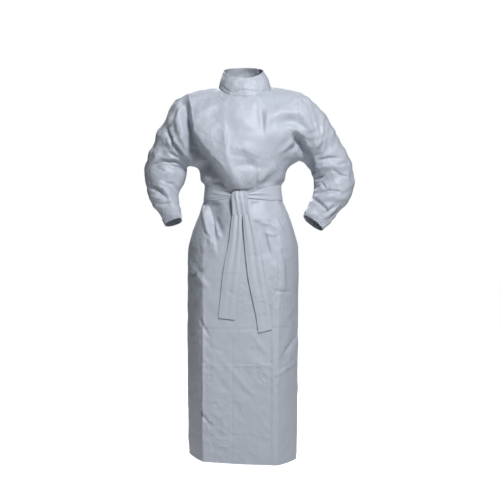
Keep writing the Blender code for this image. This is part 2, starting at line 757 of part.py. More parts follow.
def sleeve_grid(side: str) -> np.ndarray:
    """Rings of a sleeve, from the armhole's seam to the cuff's seam."""
    table = SLEEVES[side]
    count = len(table) - 1
    fine = column_spline(table, [4] * count)
    levels = fine[:: max(1, round(4 * count / SLEEVE_ROWS))]
    if not np.allclose(levels[-1], fine[-1]):
        levels = np.vstack((levels, fine[-1]))
    seam = armhole_loop(side)
    first = sleeve_ring(levels[0])
    rings = []
    for index, level in enumerate(levels):
        ring = sleeve_ring(level)
        ease = 1.0 - smooth(index / 5.0)
        rings.append(ring + (seam - first) * ease)
    grid = np.array(rings)
    fade = np.clip(np.arange(len(grid)) / 3.0, 0.0, 1.0)
    fade = np.minimum(fade, np.clip(np.arange(len(grid))[::-1] / 2.0, 0.0, 1.0))
    fade = np.repeat(fade[:, None], grid.shape[1], axis=1)
    return raised(grid, True, SLEEVE_CREASES[side], fade)


def armhole_loop(side: str) -> np.ndarray:
    """The armhole's seam all round: up the front, then down the back."""
    front = [armhole_point(side, -1, step / ARMHOLE_ROWS) for step in range(ARMHOLE_ROWS)]
    back = [armhole_point(side, 1, 1.0 - step / ARMHOLE_ROWS) for step in range(ARMHOLE_ROWS)]
    return np.array(front + back)


def sleeve_ring(level) -> np.ndarray:
    """One ring of a sleeve, in the order of the armhole's seam."""
    outer_x, outer_z, inner_x, inner_z, y, half_depth = level
    outer = np.array((outer_x, y, outer_z))
    inner = np.array((inner_x, y, inner_z))
    points = []
    for step in range(2 * ARMHOLE_ROWS):
        turn = math.pi * step / ARMHOLE_ROWS
        rise = 0.5 * (1.0 - math.cos(turn))
        deep = math.sin(turn)
        point = inner + (outer - inner) * rise
        point[1] -= half_depth * math.copysign(abs(deep) ** FULLNESS, deep)
        points.append(point)
    return np.array(points)


def doubled(ring: np.ndarray) -> np.ndarray:
    """Add the middle of each side to a ring."""
    following = np.roll(ring, -1, axis=0)
    result = np.empty((2 * len(ring), 3))
    result[0::2] = ring
    result[1::2] = 0.5 * (ring + following)
    return result


def cuff_grid(sleeve: np.ndarray) -> np.ndarray:
    """An elastic cuff on the end of a sleeve, gathered all round."""
    last = doubled(sleeve[-1])
    centre = last.mean(axis=0)
    heading = centre - sleeve[-3].mean(axis=0)
    heading /= np.linalg.norm(heading)
    rings = [last]
    for step in range(1, CUFF_ROWS + 1):
        share = step / CUFF_ROWS
        radial = last - centre
        out = radial / np.linalg.norm(radial, axis=1, keepdims=True)
        flat = radial - np.outer(radial @ heading, heading) * share
        wave = np.where(np.arange(len(last)) % 2 == 0, 1.0, -1.0)[:, None]
        scale = 1.0 + (CUFF_NARROW - 1.0) * share
        ring = centre + flat * scale + out * wave * CUFF_GATHER + heading * CUFF_LENGTH * share
        rings.append(ring)
    return np.array(rings)


def collar_grid(front: np.ndarray, left: np.ndarray, right: np.ndarray) -> np.ndarray:
    """A stand collar from the neckline up, its ends lapped at the back."""
    first = SHOULDER_COLUMNS
    last = SHOULDER_COLUMNS + NECK_COLUMNS
    middle = COLUMNS // 2
    stops = []
    for column in range(middle + OVERLAP_COLUMNS, first, -1):
        stops.append((1, column, left[-1, column], 0.0))
    for column in range(first, last + 1):
        stops.append((-1, column, front[-1, column], 0.0))
    start = middle - OVERLAP_COLUMNS
    for column in range(last - 1, start - 1, -1):
        u = -1.0 + 2.0 * column / COLUMNS
        stops.append((1, column, right[-1, column - start], back_lift(u)))
    rows = []
    for step in range(COLLAR_ROWS + 1):
        share = step / COLLAR_ROWS
        row = []
        for face, column, base, lift in stops:
            u = -1.0 + 2.0 * column / COLUMNS
            angle = neck_angle(face, u)
            rim = ring_point(COLLAR_CENTRE, COLLAR_RADIUS, angle, lift)
            out = np.array((math.cos(math.radians(angle)), math.sin(math.radians(angle)), 0.0))
            swell = COLLAR_BULGE * math.sin(math.pi * share)
            row.append(base + (rim - base) * share + out * swell)
        rows.append(row)
    return np.array(rows)


def level_count(name: str) -> int:
    """Number of grid rows below the named level."""
    count = 0
    for row in BODY_ROWS:
        if row.name == name:
            break
        count += row.steps
    return count


def level_at(levels: np.ndarray, z: float) -> np.ndarray:
    """The row of the gown at a height below the overhang."""
    below = levels[: level_count("belt high") + 1]
    return np.array([np.interp(z, below[:, 0], column) for column in below.T])


def belt_grid(levels: np.ndarray) -> np.ndarray:
    """The belt all round, lying on the gown and drawn narrow at the knot."""
    stops = [(-1, -1.0 + 2.0 * column / COLUMNS) for column in range(COLUMNS)]
    stops += [(1, 1.0 - 2.0 * column / COLUMNS) for column in range(COLUMNS)]
    rows = []
    for step in range(BELT_ROWS + 1):
        share = 2.0 * step / BELT_ROWS - 1.0
        row = []
        for face, u in stops:
            half = BELT_HALF
            gap = BELT_CLEAR + WALL
            if face < 0:
                opened = smooth((abs(u - KNOT_U) - KNOT_REACH) / BELT_SPREAD)
                half = BELT_AT_KNOT + (BELT_HALF - BELT_AT_KNOT) * opened
            else:
                gap += BACK_LIFT * smooth((LAP_END - abs(u)) / LAP_SPREAD)
            point = body_point(face, u, level_at(levels, BELT_Z + share * half))
            outward = point - np.array((0.0, 0.0, point[2]))
            outward /= np.linalg.norm(outward)
            row.append(point + outward * gap)
        rows.append(row)
    return np.array(rows)


def front_depth(levels: np.ndarray, x: float, z: float) -> float:
    """The y of the gown's front at a place of the front view."""
    level = level_at(levels, z)
    low = -1.0
    high = 1.0
    for _ in range(40):
        half = 0.5 * (low + high)
        if body_point(-1, half, level)[0] < x:
            low = half
        else:
            high = half
    return body_point(-1, low, level)[1]


def tail_grid(name: str, levels: np.ndarray) -> np.ndarray:
    """A hanging end of the belt, folded lengthwise near the knot."""
    table = TAILS[name]
    fine = column_spline(table, [TAIL_STEPS] * len(table))
    rows = []
    for z, left, right, lift, pleat in fine:
        row = []
        for column in range(TAIL_COLUMNS + 1):
            share = column / TAIL_COLUMNS
            x = left + (right - left) * share
            fold = pleat * (1.0 - math.cos(2.0 * math.pi * 2.0 * share)) * 0.5
            row.append((x, front_depth(levels, x, z) - lift - fold, z))
        rows.append(row)
    return np.array(rows[::-1])


def add_knot(levels: np.ndarray):
    """The knot: the belt's end turned over the belt, a lump of folded cloth."""
    rings = []
    for row in KNOT_ROWS:
        centre = 0.5 * (row.left + row.right)
        half = 0.5 * (row.right - row.left)
        ring = []
        for side in range(KNOT_SIDES):
            turn = 2.0 * math.pi * side / KNOT_SIDES
            across = math.copysign(abs(math.cos(turn)) ** KNOT_WIDE, math.cos(turn))
            x = centre + half * across
            share = 0.5 - 0.5 * math.copysign(abs(math.sin(turn)) ** KNOT_DEEP, math.sin(turn))
            wave = math.cos(math.pi * (2.0 * KNOT_PLEATS + 1.0) * (x - row.left) / (2.0 * half))
            stand = row.back + (row.front - row.back) * share + KNOT_PLEAT * wave * share ** 3
            depth = front_depth(levels, x, row.z)
            ring.append((x, depth - stand, row.z))
        rings.append(ring)
    points = [point for ring in rings for point in ring]
    faces = [tuple(range(KNOT_SIDES))]
    top = (len(rings) - 1) * KNOT_SIDES
    for level in range(len(rings) - 1):
        for side in range(KNOT_SIDES):
            following = (side + 1) % KNOT_SIDES
            low = level * KNOT_SIDES
            high = low + KNOT_SIDES
            faces.append((low + following, low + side, high + side, high + following))
    faces.append(tuple(top + side for side in reversed(range(KNOT_SIDES))))
    return add_object("belt_knot", points, faces, "belt laminate")


def clear_scene():
    """Remove whatever the scene holds."""
    for item in list(bpy.data.objects):
        bpy.data.objects.remove(item, do_unlink=True)


def main():
    """Build every piece of the gown."""
    clear_scene()
    levels = body_levels()
    front = panel_grid(-1)
    back_left, back_right = back_panels(panel_grid(1))
    sleeves = {side: sleeve_grid(side) for side in ("left", "right")}
    pieces = [
        (Cloth("front", front), "laminate"),
        (Cloth("back_left", back_left), "laminate"),
        (Cloth("back_right", back_right), "laminate"),
        (Cloth("collar", collar_grid(front, back_left, back_right)), "laminate"),
        (Cloth("sleeve_left", sleeves["left"], True), "laminate"),
        (Cloth("sleeve_right", sleeves["right"], True), "laminate"),
        (Cloth("cuff_left", cuff_grid(sleeves["left"]), True, True), "cuff elastic"),
        (Cloth("cuff_right", cuff_grid(sleeves["right"]), True, True), "cuff elastic"),
        (Cloth("belt", belt_grid(levels), True), "belt laminate"),
        (Cloth("tail_left", tail_grid("tail_left", levels)), "belt laminate"),
        (Cloth("tail_right", tail_grid("tail_right", levels)), "belt laminate"),
    ]
    seams = Seams()
    for cloth, _ in pieces:
        seams.add_cloth(cloth)
    for cloth, colour in pieces:
        wall_solid(cloth, seams, colour)
    add_knot(levels)


main()
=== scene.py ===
"""Looks of a rear-closing protective gown: fine cloth with its folds, sewing and finishes.

Every piece is a fine grid on the form of its solid.  The folds are placed one by one and seen
from the front or the back, with x to the right and z up.  They move the cloth in and out along
its own surface, the same way on both sides of a seam.  Tables that say so are in millimetres,
everything else is in metres.
"""

import logging
import math
from abc import ABC, abstractmethod
from dataclasses import dataclass, field
from enum import Enum
from typing import NamedTuple, Optional, Sequence

import bmesh
import bpy
import numpy as np
from mathutils import Matrix, Vector


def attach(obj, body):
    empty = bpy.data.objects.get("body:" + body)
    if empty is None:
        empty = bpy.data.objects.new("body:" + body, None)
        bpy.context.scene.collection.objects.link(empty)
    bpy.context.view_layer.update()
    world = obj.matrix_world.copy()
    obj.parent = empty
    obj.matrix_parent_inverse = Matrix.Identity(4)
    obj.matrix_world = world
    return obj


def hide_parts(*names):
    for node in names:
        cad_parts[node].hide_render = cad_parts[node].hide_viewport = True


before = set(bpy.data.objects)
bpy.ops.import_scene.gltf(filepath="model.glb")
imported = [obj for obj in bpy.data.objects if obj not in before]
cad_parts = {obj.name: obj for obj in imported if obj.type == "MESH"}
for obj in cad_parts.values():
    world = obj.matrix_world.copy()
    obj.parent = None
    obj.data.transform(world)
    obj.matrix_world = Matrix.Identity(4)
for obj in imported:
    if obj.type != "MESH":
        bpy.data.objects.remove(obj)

log = logging.getLogger("gown")
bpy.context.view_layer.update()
BODY = "root"
MM = 1000.0                 # millimetres in a metre
TINY = 1e-9

# Fineness of the cloth
PANEL_COLUMNS = 140         # from one side seam to the other
ROW_STEP = 0.004            # height of a row of the panels
ARMHOLE_STEPS = 66          # rows from the underarm to the shoulder's tip
CHEST_STEPS = 10            # steps from one row of the chest's table to the next
RING_STEPS = 11             # rings of a sleeve for each row of its table
CHEST_EASE = 24             # rows and rounds over which the chest's form is evened out
CHEST_KEEP = 0.4            # part of its own place that a point keeps in one round
HALVINGS = 24               # steps of the search for a column of the front

# Grid and form of the panels, as in the solids.  A column position u is -1 at the left side seam
# and 1 at the right one.
SHOULDER_SHARE = 8 / 28     # part of a panel's columns that ends in one shoulder seam
NECK_U = 12 / 28            # column position where the neckline ends
OVERLAP_U = 6 / 28          # how far each back panel runs past the centre
MIDDLE = PANEL_COLUMNS // 2
OVERLAP = round(OVERLAP_U * MIDDLE)
WING_POWER = 6              # keeps the cloth that only the seam has close to the seam
WING_FADE = 0.45            # part of the armhole's height over which it fades out
DIP_U = -0.05               # column position of the lowest hang of the front
DIP_REACH = 0.80            # distance over which that hang fades
FULLNESS = 0.85             # armholes and sleeves are squarer than an ellipse, which has 1
SHOULDER_SAG = 1.8          # a shoulder seam is straight at 1 and falls late, near its tip, above
HANG_START = 0.40           # part of the armhole's height from which cloth hangs from the shoulder
HANG_POWER = 3              # keeps the pull of the armhole's seam close to the seam
CORNER_U = 0.5              # column position of the skirt's pack folds
CORNER_X = 0.65             # where they lie, as a part of the half width
FLANK_ROUND = 0.22          # how far the flanks bulge, from straight at 0 to round at 1
FRONT_SHIFT = -0.0265       # the front plane is turned to the left by this much
BACK_LIFT = 0.005           # the right back panel lies this far over the left one
LIFT_START = 0.55           # column position where it starts to rise
LIFT_END = 0.22             # column position where it has risen

# Neck and collar
NECK_CENTRE = (0.007, 0.000, 0.009)
NECK_RADIUS = (0.093, 0.078)
NECK_FALL = 0.6             # slope of the neckline towards the front
NECK_RISE = 0.3             # and towards the back
NECK_BEND = 0.02            # depth over which one slope turns into the other
COLLAR_CENTRE = (0.002, 0.000, 0.069)
COLLAR_RADIUS = (0.070, 0.064)
COLLAR_BULGE = 0.004        # the stand swells a little between its two edges

# Waist and cuffs
BELT_Z = -0.370
BELT_HALF = 0.027           # half of the belt's width
BELT_AT_KNOT = 0.011        # half of its width where it is drawn into the knot
BELT_CLEAR = 0.0027         # the belt's outer face stands this far before the gown
BELT_SETTLE = 0.0016        # and this much less at its lower edge
BELT_EDGE = -0.6            # where that begins, with -1 for the edge and 0 for the middle
BELT_EDGE_PACE = 2.5        # and how quickly it comes
KNOT_U = -0.05              # column position of the knot
KNOT_REACH = 0.06           # the belt is narrowest up to this far from it
BELT_SPREAD = 0.45          # and opens to its full width over this distance
LAP_END = 0.62              # column position on the back where the belt lies on the gown again
LAP_SPREAD = 0.30           # distance over which it rises over the lapped panels
GATHER_COUNT = 6            # gathers above and below the belt on each side
GATHER_DEPTH = 0.0035
GATHER_REACH = 0.045        # height over which a gather fades away
GATHER_START = 0.012        # height over which it grows from the belt's edge
GATHER_PHASES = (0.9, 0.2)  # turn of the gathers above and below the belt
GATHER_SECOND = 0.5         # height of a second, wider set of gathers
GATHER_SECOND_PHASE = 2.1
GATHER_INSET = 0.2          # the gathers fade over this distance from a side seam
CUFF_LENGTH = 0.030
CUFF_NARROW = 0.90          # the cuff's far end against its near end


class Side(Enum):
    """The two sides of the front view."""

    LEFT = "left"
    RIGHT = "right"


class Face(Enum):
    """The side from which a fold is seen, as the sign of y."""

    FRONT = -1
    BACK = 1


class Slot(Enum):
    """Finishes that the record names."""

    LAMINATE = "laminate"
    BELT = "belt_laminate"
    ELASTIC = "cuff_elastic"


def in_metres(kind: type, *rows: tuple) -> tuple:
    """Name the numbers in the rows of a table that is given in millimetres."""
    return tuple(kind(*(value / MM for value in row)) for row in rows)


class BodyRow(NamedTuple):
    """One level round of the gown below the arms."""

    name: str
    z: float
    tilt: float         # how much higher its right end is than its left
    left: float         # x of the left side seam
    right: float        # x of the right side seam
    front: float        # y of the middle of the front
    back: float         # y of the middle of the back
    box: float          # 0 for a round section, 1 for one folded flat
    wing: float         # part of each half width that only the cloth at the seam has
    dip: float          # how far the middle of the front hangs below its ends


BODY_ROWS = (
    BodyRow("hem", -1.310, -0.020, -0.1925, 0.1915, -0.140, 0.148, 0.85, 0, 0),
    BodyRow("calf", -1.150, -0.010, -0.1970, 0.1945, -0.141, 0.147, 0.85, 0, 0),
    BodyRow("knee", -0.950, 0, -0.1985, 0.1960, -0.139, 0.144, 0.80, 0, 0),
    BodyRow("thigh", -0.780, 0, -0.1985, 0.1975, -0.137, 0.142, 0.70, 0, 0),
    BodyRow("hip", -0.660, 0, -0.1980, 0.1985, -0.136, 0.141, 0.55, 0, 0),
    BodyRow("seat", -0.573, 0, -0.1965, 0.1975, -0.133, 0.139, 0.40, 0, 0),
    BodyRow("high hip", -0.510, 0, -0.1810, 0.1840, -0.127, 0.132, 0.25, 0, 0),
    BodyRow("flare", -0.455, 0, -0.1600, 0.1660, -0.119, 0.121, 0.10, 0, 0),
    BodyRow("belt under", -0.414, 0, -0.1460, 0.1480, -0.110, 0.109, 0, 0, 0.004),
    BodyRow("belt low", -0.396, 0, -0.1400, 0.1410, -0.105, 0.104, 0, 0, 0.008),
    BodyRow("belt mid", -0.370, 0, -0.1360, 0.1360, -0.102, 0.101, 0, 0, 0.015),
    BodyRow("belt high", -0.3415, 0, -0.1345, 0.1345, -0.101, 0.100, 0, 0, 0.025),
    BodyRow("overhang", -0.3330, 0, -0.1450, 0.1440, -0.113, 0.109, 0, 0, 0.025),
    BodyRow("blouse", -0.322, 0, -0.1520, 0.1505, -0.124, 0.118, 0, 0, 0.023),
    BodyRow("ribs", -0.298, 0, -0.1540, 0.1540, -0.130, 0.121, 0, 0, 0.016),
    BodyRow("side", -0.282, 0, -0.1590, 0.1590, -0.132, 0.122, 0, 0.004, 0.010),
    BodyRow("web", -0.271, 0.006, -0.1720, 0.1730, -0.133, 0.123, 0, 0.016, 0.006),
    BodyRow("underarm", -0.262, 0.020, -0.1930, 0.2010, -0.134, 0.123, 0, 0.036, 0),
)


class ChestRow(NamedTuple):
    """One level of the gown between the underarm and the shoulder."""

    t: float            # 0 at the underarm, 1 at the shoulder's tip
    front: float
    back: float
    span: float         # degrees of arc that the row covers on each side


CHEST_ROWS = (
    ChestRow(0.00, -0.134, 0.123, 90.0),
    ChestRow(0.15, -0.136, 0.124, 80.0),
    ChestRow(0.35, -0.137, 0.126, 68.0),
    ChestRow(0.55, -0.130, 0.124, 60.0),
    ChestRow(0.75, -0.112, 0.112, 55.0),
    ChestRow(1.00, -0.078, 0.078, 50.0),
)


class Armhole(NamedTuple):
    """The seam between the body and one sleeve."""

    tip: tuple[float, float, float]
    under: tuple[float, float, float]
    pinch: float        # how far it draws in towards the chest half-way up
    depth: float        # how far it reaches forward and back


ARMHOLES = {
    Side.LEFT: Armhole((-0.200, 0.000, -0.008), (-0.193, 0.000, -0.272), 0.020, 0.086),
    Side.RIGHT: Armhole((0.207, 0.000, -0.012), (0.201, 0.000, -0.252), 0.012, 0.084),
}


class SleeveRing(NamedTuple):
    """One round of a sleeve, seen from the front."""

    outer_x: float
    outer_z: float
    inner_x: float
    inner_z: float
    y: float
    half_depth: float


SLEEVE_RINGS = {
    Side.LEFT: in_metres(
        SleeveRing,
        (-200, -8, -193, -272, 0, 86),
        (-240, -39, -197, -274, 4, 84),
        (-268, -74, -200, -275, 12, 82),
        (-284, -112, -202, -276, 20, 81),
        (-307, -151, -203, -278, 30, 81),
        (-325, -193, -204, -280, 40, 81),
        (-347, -236, -204, -284, 48, 81),
        (-356, -279, -205, -291, 50, 79),
        (-354, -319, -208, -307, 45, 76),
        (-347, -352, -214, -331, 35, 71),
        (-341, -382, -222, -357, 22, 63),
        (-326, -412, -228, -384, 10, 53),
        (-307, -436, -229, -410, 2, 44),
        (-294, -458, -222, -438, -6, 38),
    ),
    Side.RIGHT: in_metres(
        SleeveRing,
        (207, -12, 201, -252, 0, 84),
        (244, -35, 206, -253, 4, 83),
        (271, -61, 211, -255, 10, 81),
        (299, -94, 217, -258, 20, 80),
        (324, -133, 226, -265, 30, 80),
        (351, -179, 236, -276, 38, 80),
        (377, -225, 245, -292, 45, 80),
        (398, -276, 253, -312, 48, 78),
        (407, -319, 258, -332, 45, 75),
        (396, -357, 257, -352, 36, 70),
        (381, -392, 252, -372, 24, 62),
        (360, -424, 246, -392, 12, 53),
        (334, -452, 237, -411, 4, 45),
        (308, -476, 226, -432, -4, 39),
    ),
}
SLEEVE_EASE = 3.75          # rows of the table over which a sleeve leaves the armhole's shape


class TailRow(NamedTuple):
    """One level of a hanging end of the belt."""

    z: float
    left: float
    right: float
    lift: float         # how far it hangs before the skirt
    pleat: float        # depth of its lengthwise folds


TAIL_ROWS = {
    Side.LEFT: in_metres(
        TailRow,
        (-450.8, -37, -3, 10, 3.5),
        (-490, -41, -3, 11, 3.5),
        (-539, -47, -4, 12, 3),
        (-614, -62, -9, 12, 2.2),
        (-649, -68, -12, 11, 1.4),
        (-745, -78, -23, 10, 0.7),
        (-810, -85, -27, 8.5, 0.4),
    ),
    Side.RIGHT: in_metres(
        TailRow,
        (-450.8, -1, 29, 11.5, 4),
        (-483.6, 1, 39, 12.5, 3.8),
        (-539, 5, 53, 13, 3),
        (-659, 17, 73, 13, 1.8),
        (-745, 34, 87, 12, 1),
        (-807, 47, 96, 11, 0.6),
        (-852, 54, 101, 10, 0.4),
    ),
}
TAIL_SLANT = {Side.LEFT: -0.006, Side.RIGHT: 0.011}     # height of the end's right corner over its left
TAIL_END = 0.060            # part of a tail that takes the slant
TAIL_SETTLE = 0.50          # part of its lift that a tail loses on its way down
TAIL_FALL = 0.150           # and the height over which it loses it


class KnotRow(NamedTuple):
    """One level of the knot."""

    z: float
    left: float
    right: float
    back: float
    front: float


KNOT_ROWS = in_metres(
    KnotRow,
    (-365, -16, -4, 8.5, 9.5),
    (-366.2, -23, 4, 6, 13),
    (-369.5, -31, 11, 4, 18),
    (-376, -37.5, 16.5, 1.8, 23.5),
    (-388, -41, 19, 1.4, 26.5),
    (-402, -40, 18.5, 2, 25.5),
    (-420, -38.5, 20, 4.5, 21.5),
    (-440, -37.5, 22.5, 7, 16.5),
    (-454, -36, 25, 8.5, 12),
)


class FlatCut(NamedTuple):
    """The flat cloth that a piece is cut from, all round where it is a tube."""

    width: float
    length: float
    area: float


FOLD_END = 0.25             # part of its height that a fold keeps at its ends
FOLD_SWELL = 0.7            # how quickly it rises from them, 1 for evenly
CREST_POWER = 1.6           # how steep a sharp crest is
FACING_GAIN = 2.0           # how quickly a fold fades where the cloth turns away from its side
FACING_START = 0.2


@dataclass(frozen=True)
class Fold:
    """A fold of the cloth along a path, as it is seen from one side."""

    face: Face
    path: tuple[tuple[float, float], ...]       # (x, z) points
    left: float         # how far it spreads to the left of its path
    right: float
    height: float       # above the cloth, or below it when negative
    crisp: float        # 0 for a round crest, 1 for a sharp one

    def heights(self, points: np.ndarray, normals: np.ndarray) -> np.ndarray:
        """Give the fold's height at each point of a cloth.

        Args:
            points: an array of points, the last axis being x, y and z.
            normals: their outward unit normals.

        Returns:
            The heights in metres.
        """
        x = points[..., 0]
        z = points[..., 2]
        steps = [math.dist(a, b) for a, b in zip(self.path, self.path[1:])]
        total = sum(steps)
        best = np.full(x.shape, np.inf)
        share = np.zeros(x.shape)
        passed = 0.0
        for (x0, z0), (x1, z1), step in zip(self.path, self.path[1:], steps):
            dx = (x1 - x0) / step
            dz = (z1 - z0) / step
            along = np.clip((x - x0) * dx + (z - z0) * dz, 0.0, step)
            off_x = x - x0 - along * dx
            off_z = z - z0 - along * dz
            turn = dx * off_z - dz * off_x
            off = np.hypot(off_x, off_z) / np.where(turn > 0, self.left, self.right)
            nearer = off < best
            best = np.where(nearer, off, best)
            share = np.where(nearer, (passed + along) / total, share)
            passed += step
        near = np.clip(1.0 - best, 0.0, 1.0)
        soft = near * near * (2.0 - near) ** 2
        profile = soft + (near ** CREST_POWER - soft) * self.crisp
        taper = FOLD_END + (1.0 - FOLD_END) * np.sin(np.pi * share) ** FOLD_SWELL
        facing = smooth_array(FACING_GAIN * self.face.value * normals[..., 1] + FACING_START)
        return self.height * profile * taper * facing


def folds_on(face: Face, *rows: tuple) -> tuple[Fold, ...]:
    """Make the folds of one side from rows in millimetres.

    Args:
        face: the side from which they are seen.
        rows: for each fold the x and z of its points in turn, its spread to the left and to the
            right of them, its height and its crispness.

    Returns:
        The folds, in metres.
    """
    folds = []
    for path, left, right, height, crisp in rows:
        points = tuple((x / MM, z / MM) for x, z in zip(path[::2], path[1::2]))
        folds.append(Fold(face, points, left / MM, right / MM, height / MM, crisp))
    return tuple(folds)


